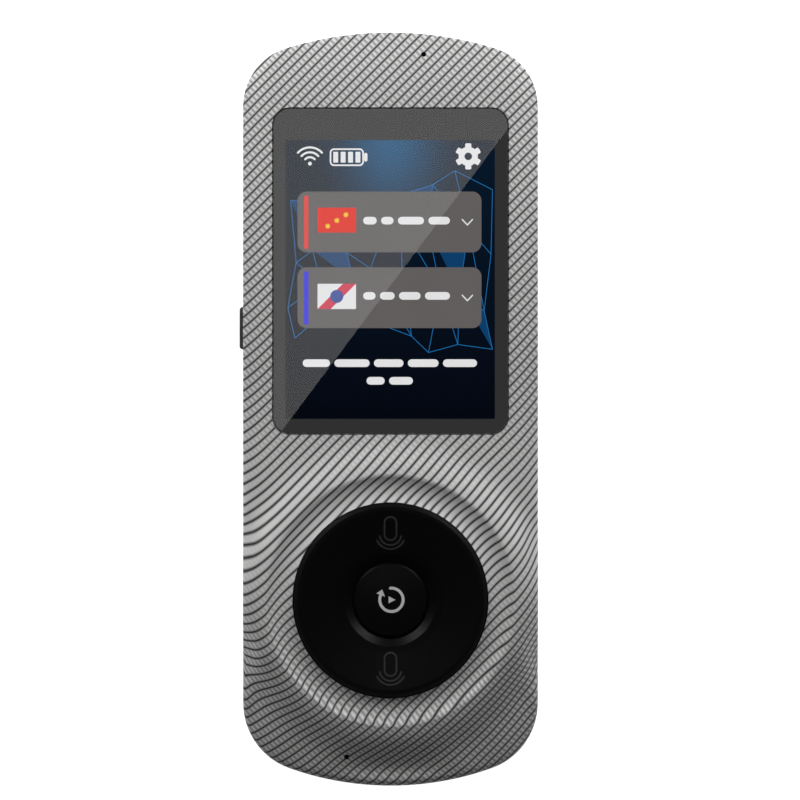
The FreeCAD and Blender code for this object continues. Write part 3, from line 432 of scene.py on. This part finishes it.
def textured(name, colour, group, group_values, roughness, bump, **values):
    """Material whose shade, roughness and bump come from a shared texture group."""
    material, tree, shader = new_material(name, **values)
    texture = add_node(tree, "ShaderNodeGroup", group_values, node_tree=group)
    shade = texture.outputs["Shade"]
    dark, light, spread = 0.7, 1.3, 0.2
    tone = mixed(tree, shade, opaque(colour, dark), opaque(colour, light))
    tree.links.new(tone, shader.inputs["Base Color"])
    rough = maths(tree, "MULTIPLY_ADD", shade, spread, roughness - spread / 2.0)
    tree.links.new(rough, shader.inputs["Roughness"])
    add_relief(tree, shader, texture.outputs["Height"], bump, depth=0.02 * MM)
    return material


def moulded(slot, roughness=0.55, scale=4000.0, contrast=0.3, bump=0.25, **values):
    """Moulded plastic or rubber in the record's colour."""
    return textured(slot, slot_colour(slot), grain_group(), {"Scale": scale, "Contrast": contrast},
                    roughness, bump, **values)


def sheet_metal(slot, roughness=0.35, length=0.04):
    """Rolled or plated sheet metal in the record's colour."""
    return textured(slot, slot_colour(slot), brushed_group(), {"Length": length, "Contrast": 0.4},
                    roughness, bump=0.15, Metallic=1.0)


def glowing(name, colour):
    """Lit mark of the display: black but for its own light, which is a little uneven."""
    material, tree, shader = unlit(name)
    dim = 0.94
    soft = noise(tree, object_place(tree), scale=150.0, detail=0.0)
    tree.links.new(mixed(tree, soft, opaque(colour, dim), opaque(colour)), shader.inputs["Emission Color"])
    return material


def dress(node, material):
    """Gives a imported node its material."""
    slots = frame["nodes"][node].data.materials
    slots.clear()
    slots.append(material)


def from_middle(tree, phase):
    """Distance of a running phase from the middle of its turn, from 0 to a half."""
    return maths(tree, "ABSOLUTE", maths(tree, "SUBTRACT", maths(tree, "FRACT", phase), 0.5))


def painted_lines(settings):
    """Metallic paint with fine dark lines that slant up to the right and bend over the crowned face."""
    material, tree, shader = new_material("housing paint", Metallic=0.25)
    parts = axes_of(tree, object_place(tree))
    rate = 1.0 / (settings.line_pitch * math.sqrt(2.0))
    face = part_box("screen_glass")[1].z

    # The lines bend where the face falls away and slant where they run down the walls
    across = maths(tree, "SUBTRACT", parts["Y"], parts["X"])
    reach = maths(tree, "MAXIMUM", maths(tree, "SUBTRACT", settings.lean_start, parts["Y"]), 0.0)
    height = maths(tree, "SUBTRACT", parts["Z"], face)
    bend = maths(tree, "MULTIPLY", maths(tree, "MULTIPLY", reach, height), settings.lean)
    depth = maths(tree, "MINIMUM", maths(tree, "SUBTRACT", parts["Z"], settings.wall_top), 0.0)
    bend = maths(tree, "MULTIPLY_ADD", depth, rate, bend)
    phase = maths(tree, "MULTIPLY_ADD", across, rate, bend)
    line = climb(tree, from_middle(tree, phase), 0.5 - settings.line_share / 2.0, 0.5, 1.0)

    # Finer lines cross them, and fade out at the crossing rest
    other = maths(tree, "ADD", parts["Y"], parts["X"])
    crossing = maths(tree, "MULTIPLY_ADD", other, rate * settings.cross_rate, bend)
    weft = from_middle(tree, crossing)
    away = maths(tree, "ABSOLUTE", maths(tree, "SUBTRACT", parts["Y"], settings.cross_rest))
    presence = climb(tree, away, 0.0, settings.cross_reach, 2.0 * settings.cross_strength)
    cover = maths(tree, "MULTIPLY", line, settings.line_strength)
    cover = maths(tree, "MAXIMUM", cover, maths(tree, "MULTIPLY", weft, presence))

    # The paint has a fine grain, and the lines are rougher and lie a little lower
    dark, light, rougher_line = 0.9, 1.1, 0.15
    texture = add_node(tree, "ShaderNodeGroup", {"Scale": 2500.0, "Contrast": 0.8}, node_tree=grain_group())
    paint = mixed(tree, texture.outputs["Shade"], opaque(settings.paint, dark), opaque(settings.paint, light))
    tree.links.new(mixed(tree, cover, paint, opaque(settings.line)), shader.inputs["Base Color"])
    rough = maths(tree, "MULTIPLY_ADD", line, rougher_line, settings.roughness)
    tree.links.new(rough, shader.inputs["Roughness"])
    raised = maths(tree, "SUBTRACT", 1.0, line)
    add_relief(tree, shader, raised, strength=0.25, depth=0.05 * MM)
    return material


# Screen picture, drawn in millimetres to the right and down from its upper left corner

# Order of the layers, counted up from the underside of the cover glass
LAYERS = {"backdrop": 1, "cells": 2, "net": 3, "card": 4, "mark": 5, "motif": 6, "disc": 7, "print": 9}
LAYER_STEP = 0.01 * MM

# Left and right edge of both tiles, then the top and bottom edge of each
TILE_LEFT, TILE_RIGHT = 5.61, 12.36
UPPER_TILE = (11.85, 16.22)
LOWER_TILE = (25.2, 29.64)


class Picture:
    """Places flat marks in the picture, each layer a hair above the one below."""

    def __init__(self, settings):
        self.left = settings.picture_left
        self.top = settings.picture_top
        self.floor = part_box("screen_glass")[0].z

    def at(self, x, y):
        """Place in the frame of a point of the picture."""
        return (self.left + x * MM, self.top - y * MM)

    def all_at(self, points):
        """Places in the frame of several points of the picture."""
        return [self.at(x, y) for x, y in points]

    def height(self, layer):
        """Height of a layer above the underside of the cover glass."""
        return self.floor + LAYERS[layer] * LAYER_STEP

    def marks(self, name, layer, material, builder):
        """Piece whose builder gets a bmesh, this picture and the height."""
        return mesh_piece(name, lambda form: builder(form, self, self.height(layer)),
                          material, BODY)

    def panel(self, name, left, right, top, bottom, radius, layer, material):
        """Rectangle with round corners."""
        points = rounded_points(left, right, top, bottom, radius)
        return self.marks(name, layer, material,
                          lambda form, picture, height: add_outline(form, picture.all_at(points), height))


def wallpaper(settings):
    """Dark navy backdrop with a blue glow at its upper edge."""
    glow_half_width, glow_reach = 9.0 * MM, 13.0 * MM
    falloff = 0.22
    material, tree, shader = unlit("wallpaper")
    parts = axes_of(tree, object_place(tree))
    middle = settings.picture_left + settings.picture_width / 2.0
    x = maths(tree, "DIVIDE", maths(tree, "SUBTRACT", parts["X"], middle), glow_half_width)
    y = maths(tree, "DIVIDE", maths(tree, "SUBTRACT", parts["Y"], settings.picture_top), glow_reach)
    spread = maths(tree, "ADD", maths(tree, "MULTIPLY", x, x), maths(tree, "MULTIPLY", y, y))
    glow = maths(tree, "POWER", falloff, spread)
    drop = maths(tree, "DIVIDE", maths(tree, "SUBTRACT", settings.picture_top, parts["Y"]),
                 settings.picture_length)
    base = mixed(tree, drop, (0.0012, 0.008, 0.021, 1.0), (0.0003, 0.0012, 0.0045, 1.0))
    tree.links.new(mixed(tree, glow, base, (0.004, 0.085, 0.20, 1.0)), shader.inputs["Emission Color"])
    return material


def network_points():
    """Points of a drifting net: an even grid moved by waves and kept inside the picture."""
    first_x, first_y = 0.9, 9.4
    column_step, row_step = 5.0, 8.2
    left_limit, right_limit = 0.4, 36.3
    rows = []
    for row in range(4):
        line = []
        for column in range(8):
            sway = 1.3 * math.sin(1.9 * column + 2.3 * row)
            swell = 3.0 * math.sin(0.8 * column + 1.1 * row)
            ripple = 1.2 * math.cos(2.7 * column)
            x = first_x + column * column_step + sway
            y = first_y + row * row_step + swell + ripple
            line.append((min(max(x, left_limit), right_limit), y))
        rows.append(line)
    return rows


def draw_network(form, picture, height):
    """Thin links between the net's neighbouring points."""
    thickness = 0.11 * MM
    rows = network_points()
    links = []
    for row, line in enumerate(rows):
        for column, point in enumerate(line):
            if column + 1 < len(line):
                links.append((point, line[column + 1]))
            if row + 1 < len(rows):
                links.append((point, rows[row + 1][column]))
                if (row + column) % 2 and column + 1 < len(line):
                    links.append((point, rows[row + 1][column + 1]))
    for ends in links:
        add_stroke(form, picture.all_at(ends), thickness, height)


def draw_facets(form, picture, height):
    """Every fourth cell of the net, half filled."""
    every, shift = 4, 3
    rows = network_points()
    for row in range(len(rows) - 1):
        for column in range(len(rows[0]) - 1):
            if (shift * row + column) % every == 0:
                corners = [rows[row][column], rows[row][column + 1], rows[row + 1][column + 1]]
                add_outline(form, picture.all_at(corners), height)


def draw_wireless(form, picture, height):
    """Wireless symbol: a dot under three arcs."""
    dot_radius, first_radius, ring_step, thickness = 0.34, 1.12, 0.86, 0.36
    start, stop = 42, 138
    middle = (4.28, 4.12)
    x, y = picture.at(*middle)
    add_disc(form, x, y, dot_radius * MM, height, steps=20)
    for ring in range(3):
        radius = (first_radius + ring_step * ring) * MM
        add_arc(form, x, y, radius, thickness * MM, start, stop, height)


def draw_battery(form, picture, height):
    """Battery symbol: a round outline with a nub and four bars."""
    left, right, top, bottom = 7.75, 13.75, 1.45, 4.55
    wall, outer_radius, inner_radius = 0.28, 0.75, 0.5
    nub_start, nub_end, nub_top, nub_bottom, nub_radius = right + 0.02, right + 0.62, 2.25, 3.75, 0.28
    inset, bar_width, bar_step, bar_gap, bar_radius = 0.62, 0.86, 1.3, 0.6, 0.1
    outer = rounded_points(left, right, top, bottom, outer_radius)
    inner = rounded_points(left + wall, right - wall, top + wall, bottom - wall, inner_radius)
    add_band(form, picture.all_at(inner), picture.all_at(outer), height, closed=True)
    nub = rounded_points(nub_start, nub_end, nub_top, nub_bottom, nub_radius)
    add_outline(form, picture.all_at(nub), height)
    for i in range(4):
        start = left + inset + i * bar_step
        bar = rounded_points(start, start + bar_width, top + bar_gap, bottom - bar_gap, bar_radius)
        add_outline(form, picture.all_at(bar), height)


def draw_gear(form, picture, height):
    """Gear symbol with a round hole and six teeth, one of them at the top."""
    middle = (32.05, 2.85)
    teeth, steps = 6, 144
    root_radius, tooth_height, hole_radius = 1.68, 0.62, 0.66
    half_tooth, flank = 0.30, 0.08
    x, y = picture.at(*middle)
    outer = []
    inner = []
    for i in range(steps):
        turn = teeth * i / steps
        ramp = min(max((half_tooth - abs(turn % 1.0 - 0.5)) / flank, 0.0), 1.0)
        radius = (root_radius + tooth_height * ramp) * MM
        angle = 2.0 * math.pi * (i / steps + 0.5 / teeth + 0.25)
        outer.append((x + radius * math.cos(angle), y + radius * math.sin(angle)))
        inner.append((x + hole_radius * MM * math.cos(angle), y + hole_radius * MM * math.sin(angle)))
    add_band(form, inner, outer, height, closed=True)


def chevron_drawer(top):
    """Function that draws a small downward arrow in a card."""
    left, middle, right = 31.0, 31.9, 32.8
    drop, thickness = 0.95, 0.22

    def draw(form, picture, height):
        points = [(left, top), (middle, top + drop), (right, top)]
        add_stroke(form, picture.all_at(points), thickness * MM, height)
    return draw


def word_drawer(left, top, widths):
    """Function that draws stand-ins for a line of words: plain bars with round ends."""
    thickness, gap = 1.35, 0.75

    def draw(form, picture, height):
        start = left
        level = top + thickness / 2.0
        for width in widths:
            ends = [(start + thickness / 2.0, level), (start + width - thickness / 2.0, level)]
            add_stroke(form, picture.all_at(ends), thickness * MM, height)
            start += width + gap
    return draw


def draw_tile_dots(form, picture, height):
    """Row of three gold dots that climbs over the first card's tile."""
    first_x, first_y, step_x, step_y, radius = 7.4, 15.1, 1.6, 1.0, 0.42
    for i in range(3):
        x, y = picture.at(first_x + step_x * i, first_y - step_y * i)
        add_disc(form, x, y, radius * MM, height, steps=24)


def draw_tile_bands(form, picture, height):
    """Four slanting red bands that overlap into one, on the second card's white tile."""
    top, bottom = LOWER_TILE
    lean = bottom - top
    width, bands = 0.75, 4
    free = TILE_RIGHT - lean - width - TILE_LEFT
    for i in range(bands):
        start = TILE_LEFT + free * i / (bands - 1.0)
        corners = [(start, bottom), (start + width, bottom),
                   (start + width + lean, top), (start + lean, top)]
        add_outline(form, picture.all_at(corners), height)


def draw_tile_disc(form, picture, height):
    """Blue disc in the middle of the second card's tile."""
    middle, radius = (8.98, 27.42), 1.15
    x, y = picture.at(*middle)
    add_disc(form, x, y, radius * MM, height, steps=32)


# Symbols on the keys

def draw_replay(form, settings, centre_y):
    """Replay symbol: an arc with an arrowhead and a small triangle in the middle."""
    aside, above, thickness = 0.17 * MM, 0.1 * MM, 0.5 * MM
    start, stop, tip = 95, -215, 145
    x, y = aside, centre_y + above
    add_arc(form, x, y, settings.symbol_radius, thickness, start, stop, 0.0, steps=72)
    tip_x, tip_y = circle_points(x, y, settings.symbol_radius, tip, tip, 1)[0]
    head = ((-0.95, -0.05), (0.05, 0.62), (0.55, -0.62))
    add_outline(form, [(tip_x + right * MM, tip_y + up * MM) for right, up in head], 0.0)
    triangle = ((-0.5, 0.62), (0.72, 0.0), (-0.5, -0.62))
    add_outline(form, [(x + right * MM, y + up * MM) for right, up in triangle], 0.0)


def microphone_drawer(middle_y):
    """Function that draws a microphone symbol: a capsule outline over two round brackets."""
    half, thickness = 1.05 * MM, 0.27 * MM
    top, low = middle_y + 1.7 * MM, middle_y - 0.3 * MM
    bracket_radius, foot_radius = 1.9 * MM, 2.6 * MM

    def draw(form):
        add_arc(form, 0.0, top, half, thickness, 0, 180, 0.0)
        add_arc(form, 0.0, low, half, thickness, 180, 360, 0.0)
        for side in (-1, 1):
            left = side * half - thickness / 2.0
            right = side * half + thickness / 2.0
            add_band(form, [(left, low), (left, top)], [(right, low), (right, top)], 0.0)
        add_arc(form, 0.0, low, bracket_radius, thickness, 190, 350, 0.0)
        add_arc(form, 0.0, low, foot_radius, thickness, 205, 335, 0.0)
    return draw


# Operators

class TRANSLATOR_OT_housing(bpy.types.Operator):
    """Paint both shells, finish the side key and put a near-black mesh disc into each microphone port, whose
    black also paints the shade inside the hole
    """
    bl_idname = "translator.housing"
    bl_label = "Housing"

    def execute(self, context):
        paint = painted_lines(context.scene.translator_housing)
        for node in ("front_housing", "rear_cover"):
            dress(node, paint)
        dress("side_key_cap", moulded("side_key", roughness=0.45))
        # Near-black disc in each microphone port: a mesh whose black also stands in for the shade inside the
        # hole, painted shade
        port_disc_painted_shade = textured("port mesh and painted shade", (0.004, 0.004, 0.004), grain_group(),
                              {"Scale": 9000.0, "Contrast": 1.0}, roughness=0.9, bump=1.0,
                              Specular_IOR_Level=0.1)
        radius, lift = 0.44 * MM, 0.4 * MM
        for place in ("upper", "lower"):
            low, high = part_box(place + "_microphone_boot")
            x, y = (low.x + high.x) / 2.0, (low.y + high.y) / 2.0
            mesh_piece(place + "_port_mesh",
                       lambda form: add_disc(form, x, y, radius, high.z + lift, steps=32),
                       port_disc_painted_shade, BODY)
        return {"FINISHED"}


class TRANSLATOR_OT_screen(bpy.types.Operator):
    """Make the cover glass, the print behind it and the picture"""
    bl_idname = "translator.screen"
    bl_label = "Screen"

    def execute(self, context):
        settings = context.scene.translator_screen
        picture = Picture(settings)
        self.finish_display()
        self.add_backdrop(picture, settings)
        white = glowing("white marks", settings.white)
        self.add_cards(picture, glowing("card", settings.card), white)
        self.add_tiles(picture, white)
        for name, left, top, widths in (
                ("upper_card_words", 13.6, 13.45, (2.4, 2.2, 4.6, 3.8)),
                ("lower_card_words", 13.6, 26.65, (2.2, 2.6, 3.8, 4.4)),
                ("hint_words", 3.0, 38.45, (4.8, 6.2, 5.2, 5.4, 6.0)),
                ("hint_words_end", 14.2, 41.55, (3.2, 4.2))):
            picture.marks(name, "mark", white, word_drawer(left, top, widths))
        picture.marks("wireless_symbol", "mark", white, draw_wireless)
        picture.marks("battery_symbol", "mark", white, draw_battery)
        picture.marks("gear_symbol", "mark", white, draw_gear)
        return {"FINISHED"}

    def finish_display(self):
        """Clear cover glass and touch film, and the display under them."""
        glass = new_material("cover glass", Base_Color=WHITE, Roughness=0.0, IOR=1.5, Transmission_Weight=1.0)
        dress("screen_glass", glass[0])
        film = new_material("touch film", Base_Color=(0.9, 0.92, 0.93, 1.0), Roughness=0.02, IOR=1.45,
                            Transmission_Weight=1.0)
        dress("touch_sensor", film[0])
        dress("lcd_panel", moulded("display_glass", roughness=0.2, contrast=0.2, bump=0.02))
        dress("light_guide", moulded("clear_acrylic", roughness=0.25, contrast=0.1, bump=0.05))
        dress("screen_adhesive", moulded("tape", roughness=0.7))

    def add_backdrop(self, picture, settings):
        """Print on the glass round the picture, with a faint painted glow in place of the lamp light that
        would reach it, and the wallpaper with its net.
        """
        edge, corner = 0.12 * MM, 2.88 * MM
        overlap, sharp_corner = 0.2, 0.05
        wide = settings.picture_width / MM
        long = settings.picture_length / MM
        low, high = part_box("screen_glass")
        outer = rounded_points(low.x + edge, high.x - edge, low.y + edge, high.y - edge, corner, steps=12)
        left, top = picture.at(0, 0)
        right, bottom = picture.at(wide, long)
        inner = rounded_points(left, right, bottom, top, sharp_corner * MM, steps=12)
        # The black print glows faintly: painted light standing in for the lamp light it would get through the
        # glass
        picture.marks("frame_print", "print", glowing("frame print painted glow", settings.frame_print),
                      lambda form, picture, height: add_band(form, inner, outer, height, closed=True))
        picture.panel("picture_backdrop", -overlap, wide + overlap, -overlap, long + overlap,
                      sharp_corner, "backdrop", wallpaper(settings))
        picture.marks("picture_facets", "cells", glowing("net cells", (0.003, 0.05, 0.15)), draw_facets)
        picture.marks("picture_net", "net", glowing("net lines", (0.012, 0.17, 0.46)), draw_network)

    def add_cards(self, picture, card, white):
        """Two cards, each with a coloured bar at the left and an arrow at the right."""
        left, right, height, radius = 2.10, 34.37, 10.66, 1.6
        bar_left, bar_right, bar_start, bar_end, bar_radius = 3.24, 4.02, 0.7, 10.06, 0.3
        arrow_drop = 4.9
        red = glowing("red marks", (0.75, 0.05, 0.035))
        blue = glowing("blue marks", (0.035, 0.03, 0.75))
        for place, top, colour in (("upper", 9.03, red), ("lower", 22.32, blue)):
            picture.panel(place + "_card", left, right, top, top + height, radius, "card", card)
            picture.panel(place + "_card_bar", bar_left, bar_right, top + bar_start, top + bar_end,
                          bar_radius, "mark", colour)
            picture.marks(place + "_card_arrow", "mark", white, chevron_drawer(top + arrow_drop))

    def add_tiles(self, picture, white):
        """Small picture on each card: gold dots on red, and red bands and a blue disc on white."""
        radius = 0.08
        red = glowing("red tile", (0.74, 0.02, 0.005))
        picture.panel("upper_tile", TILE_LEFT, TILE_RIGHT, *UPPER_TILE, radius, "mark", red)
        picture.marks("upper_tile_dots", "motif", glowing("gold mark", (0.85, 0.52, 0.02)), draw_tile_dots)
        picture.panel("lower_tile", TILE_LEFT, TILE_RIGHT, *LOWER_TILE, radius, "mark", white)
        picture.marks("lower_tile_bands", "motif", glowing("band red", (0.62, 0.045, 0.09)), draw_tile_bands)
        picture.marks("lower_tile_disc", "disc", glowing("disc blue", (0.05, 0.09, 0.33)), draw_tile_disc)


class TRANSLATOR_OT_dial(bpy.types.Operator):
    """Finish the black ring key and centre button and lay their symbols on them"""
    bl_idname = "translator.dial"
    bl_label = "Key dial"

    def execute(self, context):
        settings = context.scene.translator_dial
        black = textured("dial", settings.black, grain_group(), {"Scale": 6000.0, "Contrast": 0.25},
                         settings.roughness, bump=0.06, Specular_IOR_Level=settings.shine)
        for node in ("talk_ring", "centre_button"):
            dress(node, black)
        low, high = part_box("talk_ring")
        middle = (low.y + high.y) / 2.0
        print_grain = {"Scale": 3000.0, "Contrast": 0.2}
        print_white = textured("replay print", settings.symbol, grain_group(), print_grain,
                               roughness=0.6, bump=0.1)
        replay = mesh_piece("replay_symbol", lambda form: draw_replay(form, settings, middle),
                            print_white, BUTTON_BODY)
        settle(replay, "centre_button")
        faint = textured("microphone print", (0.04, 0.04, 0.04), grain_group(), print_grain,
                         roughness=0.35, bump=0.1)
        for name, side in (("upper_microphone_symbol", 1), ("lower_microphone_symbol", -1)):
            symbol = mesh_piece(name, microphone_drawer(middle + side * settings.microphone_offset),
                                faint, RING_BODY)
            settle(symbol, "talk_ring")
        return {"FINISHED"}


class TRANSLATOR_OT_works(bpy.types.Operator):
    """Finish what lies inside: board, chips, cell, loudspeaker, switches, socket, ribbons and foam"""
    bl_idname = "translator.works"
    bl_label = "Works"

    def execute(self, context):
        finishes = {
            "tape": moulded("tape", roughness=0.8),
            "tray_steel": sheet_metal("tray_steel"),
            "flat_cable": moulded("flat_cable", roughness=0.35, scale=1500.0, bump=0.1),
            "connector": moulded("connector", roughness=0.5),
            "foam": moulded("foam", roughness=0.95, scale=2500.0, contrast=0.9, bump=1.0),
            "moulded_black": moulded("moulded_black", roughness=0.5),
            "spring_steel": sheet_metal("spring_steel", roughness=0.25),
            "circuit_board": moulded("circuit_board", roughness=0.35, scale=900.0, contrast=0.5, bump=0.3),
            "chip": moulded("chip", roughness=0.6, scale=5000.0),
            "screw_steel": sheet_metal("screw_steel", roughness=0.3, length=1.0),
            "cell_foil": sheet_metal("cell_foil", roughness=0.45, length=0.2),
            "speaker_film": moulded("speaker_film", roughness=0.3, bump=0.1),
            "dust_mesh": moulded("dust_mesh", roughness=0.85, scale=3500.0, contrast=1.0, bump=1.0),
            "contact_metal": sheet_metal("contact_metal", roughness=0.25),
            "microphone_can": sheet_metal("microphone_can", roughness=0.3),
            "boot_rubber": moulded("boot_rubber", roughness=0.8),
        }
        # The tape under the cover glass is finished with the screen
        own_tape = "screen_adhesive"
        for node in frame["nodes"]:
            slot = node_slot(node)
            if slot in finishes and node != own_tape:
                dress(node, finishes[slot])
        return {"FINISHED"}


class TRANSLATOR_OT_studio(bpy.types.Operator):
    """Set up the pale floor, the soft lights and the camera straight above the face"""
    bl_idname = "translator.studio"
    bl_label = "Studio"

    def execute(self, context):
        settings = context.scene.translator_studio
        scene = context.scene
        scene.view_settings.view_transform = "Standard"
        scene.view_settings.look = "None"
        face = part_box("screen_glass")[1].z
        self.add_floor()
        self.add_camera(scene, settings, face)
        self.add_world(scene)
        self.add_lights(settings, face)
        self.add_glare(scene, settings, face)
        return {"FINISHED"}

    def add_floor(self):
        """Pale floor under the whole set, clear when seen from below."""
        half_width, segments, gap = 3.0, 8, 0.1 * MM
        own_light, more_for_the_eye = 0.15, 0.85
        material, tree, shader = new_material("floor", Roughness=0.9, Specular_IOR_Level=0.1)
        cloud = noise(tree, object_place(tree), scale=3.0, detail=2.0)
        pale = mixed(tree, cloud, (0.88, 0.88, 0.88, 1.0), (0.92, 0.92, 0.92, 1.0))
        tree.links.new(pale, shader.inputs["Base Color"])
        shader.inputs["Emission Color"].default_value = WHITE
        seen = add_node(tree, "ShaderNodeLightPath").outputs["Is Camera Ray"]
        level = maths(tree, "MULTIPLY_ADD", seen, more_for_the_eye, own_light)
        tree.links.new(level, shader.inputs["Emission Strength"])
        below = add_node(tree, "ShaderNodeNewGeometry").outputs["Backfacing"]
        tree.links.new(maths(tree, "SUBTRACT", 1.0, below), shader.inputs["Alpha"])
        floor = new_object("floor", lambda form: bmesh.ops.create_grid(
            form, x_segments=segments, y_segments=segments, size=half_width), material)
        floor.location.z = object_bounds()[0][2] - gap
        floor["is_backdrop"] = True

    def add_camera(self, scene, settings, face):
        """Long lens straight above the face, framed as wide as the settings say."""
        middle_x, middle_y = 1.67 * MM, 1.58 * MM
        farthest = 20.0
        data = bpy.data.cameras.new("camera")
        data.lens = settings.lens
        data.clip_end = farthest
        distance = settings.view_width * settings.lens / data.sensor_width
        camera = bpy.data.objects.new("camera", data)
        camera.location = (middle_x, middle_y, face + distance)
        scene.collection.objects.link(camera)
        scene.camera = camera

    def add_world(self, scene):
        """Pale surroundings for the eye, dim ones for the light."""
        base, more_for_matt, more_for_the_eye = 0.02, 0.06, 0.9
        world = bpy.data.worlds.new("surroundings")
        scene.world = world
        world.use_nodes = True
        tree = world.node_tree
        backdrop = tree.nodes["Background"]
        rays = add_node(tree, "ShaderNodeLightPath").outputs
        level = maths(tree, "MULTIPLY_ADD", rays["Is Camera Ray"], more_for_the_eye, base)
        level = maths(tree, "MULTIPLY_ADD", rays["Is Diffuse Ray"], more_for_matt, level)
        backdrop.inputs["Color"].default_value = WHITE
        tree.links.new(level, backdrop.inputs["Strength"])

    def add_lights(self, settings, face):
        """Two key lights beyond the top corners, kept off the cover glass, and a wide fill light."""
        key_aside, key_along, key_up, key_size = 0.15, 0.16, 0.13, 0.10
        fill_place, fill_size = (0.0, 0.2, 0.6), 0.5
        matt = bpy.data.collections.new("not the cover glass")
        matt.objects.link(frame["nodes"]["screen_glass"])
        matt.collection_objects[0].light_linking.link_state = "EXCLUDE"
        for side in (-1, 1):
            place = (key_aside * side, key_along, key_up)
            key = self.add_light("key light", settings.key_power, place, face, key_size)
            key.light_linking.receiver_collection = matt
        fill = self.add_light("fill light", settings.fill_power, fill_place, face, fill_size)
        fill.visible_glossy = False

    def add_light(self, name, power, place, face, size):
        """Square soft light that faces the middle of the front face."""
        data = bpy.data.lights.new(name, "AREA")
        data.energy = power
        data.size = size
        light = bpy.data.objects.new(name, data)
        light.location = place
        aim = Vector((0.0, 0.0, face)) - Vector(place)
        light.rotation_euler = aim.to_track_quat("-Z", "Y").to_euler()
        bpy.context.scene.collection.objects.link(light)
        return light

    def add_glare(self, scene, settings, face):
        """Two cards that the screen mirrors: a bright slanting one and a dim one over the rest."""
        left, right, top, low = -24.0, 24.0, 56.0, -8.0
        slant = ((left, -3.0), (-19.2, -4.0), (20.43, 48.9), (right, 53.7))
        glare_rise, sheen_rise = 0.45, 0.5
        glare_corners = ((left, top),) + slant + ((right, top),)
        sheen_corners = ((left, top), (left, low), (right, low), (right, top))
        self.add_card(scene, "glare_card", settings.glare, face, glare_rise, glare_corners)
        self.add_card(scene, "sheen_card", settings.sheen, face, sheen_rise, sheen_corners)

    def add_card(self, scene, name, level, face, rise, corners):
        """Card seen only in reflections, its corners given in millimetres where they show on the face."""
        camera = scene.camera.location
        grow = 1.0 + rise / (camera.z - face)
        points = [(camera.x + (x * MM - camera.x) * grow, camera.y + (y * MM - camera.y) * grow)
                  for x, y in corners]
        material = new_material(name, Base_Color=BLACK, Specular_IOR_Level=0.0, Emission_Color=WHITE,
                                Emission_Strength=level)[0]
        card = new_object(name, lambda form: add_outline(form, points, face + rise), material)
        for ray in ("camera", "diffuse", "transmission", "shadow", "volume_scatter"):
            setattr(card, "visible_" + ray, False)
        card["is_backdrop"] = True


class TRANSLATOR_PT_panel(bpy.types.Panel):
    """Lists the steps that dress the translator"""
    bl_idname = "TRANSLATOR_PT_panel"
    bl_label = "Translator"
    bl_space_type = "VIEW_3D"
    bl_region_type = "UI"
    bl_category = "Translator"

    def draw(self, context):
        for step in STEPS:
            self.layout.operator(step.bl_idname)
        for name in GROUPS:
            box = self.layout.box()
            settings = getattr(context.scene, name)
            for key in settings.__annotations__:
                box.prop(settings, key)


GROUPS = {
    "translator_housing": HousingSettings,
    "translator_screen": ScreenSettings,
    "translator_dial": DialSettings,
    "translator_studio": StudioSettings,
}
STEPS = (
    TRANSLATOR_OT_housing,
    TRANSLATOR_OT_screen,
    TRANSLATOR_OT_dial,
    TRANSLATOR_OT_works,
    TRANSLATOR_OT_studio,
)


def register():
    """Adds the settings, the steps and the panel to Blender."""
    for settings in GROUPS.values():
        bpy.utils.register_class(settings)
    for name, settings in GROUPS.items():
        setattr(bpy.types.Scene, name, PointerProperty(type=settings))
    for step in STEPS + (TRANSLATOR_PT_panel,):
        bpy.utils.register_class(step)


def unregister():
    """Takes the panel, the steps and the settings out of Blender."""
    for step in STEPS + (TRANSLATOR_PT_panel,):
        bpy.utils.unregister_class(step)
    for name, settings in GROUPS.items():
        delattr(bpy.types.Scene, name)
        bpy.utils.unregister_class(settings)


def main():
    """Runs the steps in order."""
    register()
    for spare in [o for o in bpy.data.objects if o.type in ("LIGHT", "CAMERA")]:
        bpy.data.objects.remove(spare)
    bpy.ops.translator.housing()
    bpy.ops.translator.screen()
    bpy.ops.translator.dial()
    bpy.ops.translator.works()
    bpy.ops.translator.studio()
    bpy.context.view_layer.update()


if __name__ == "__main__":
    main()
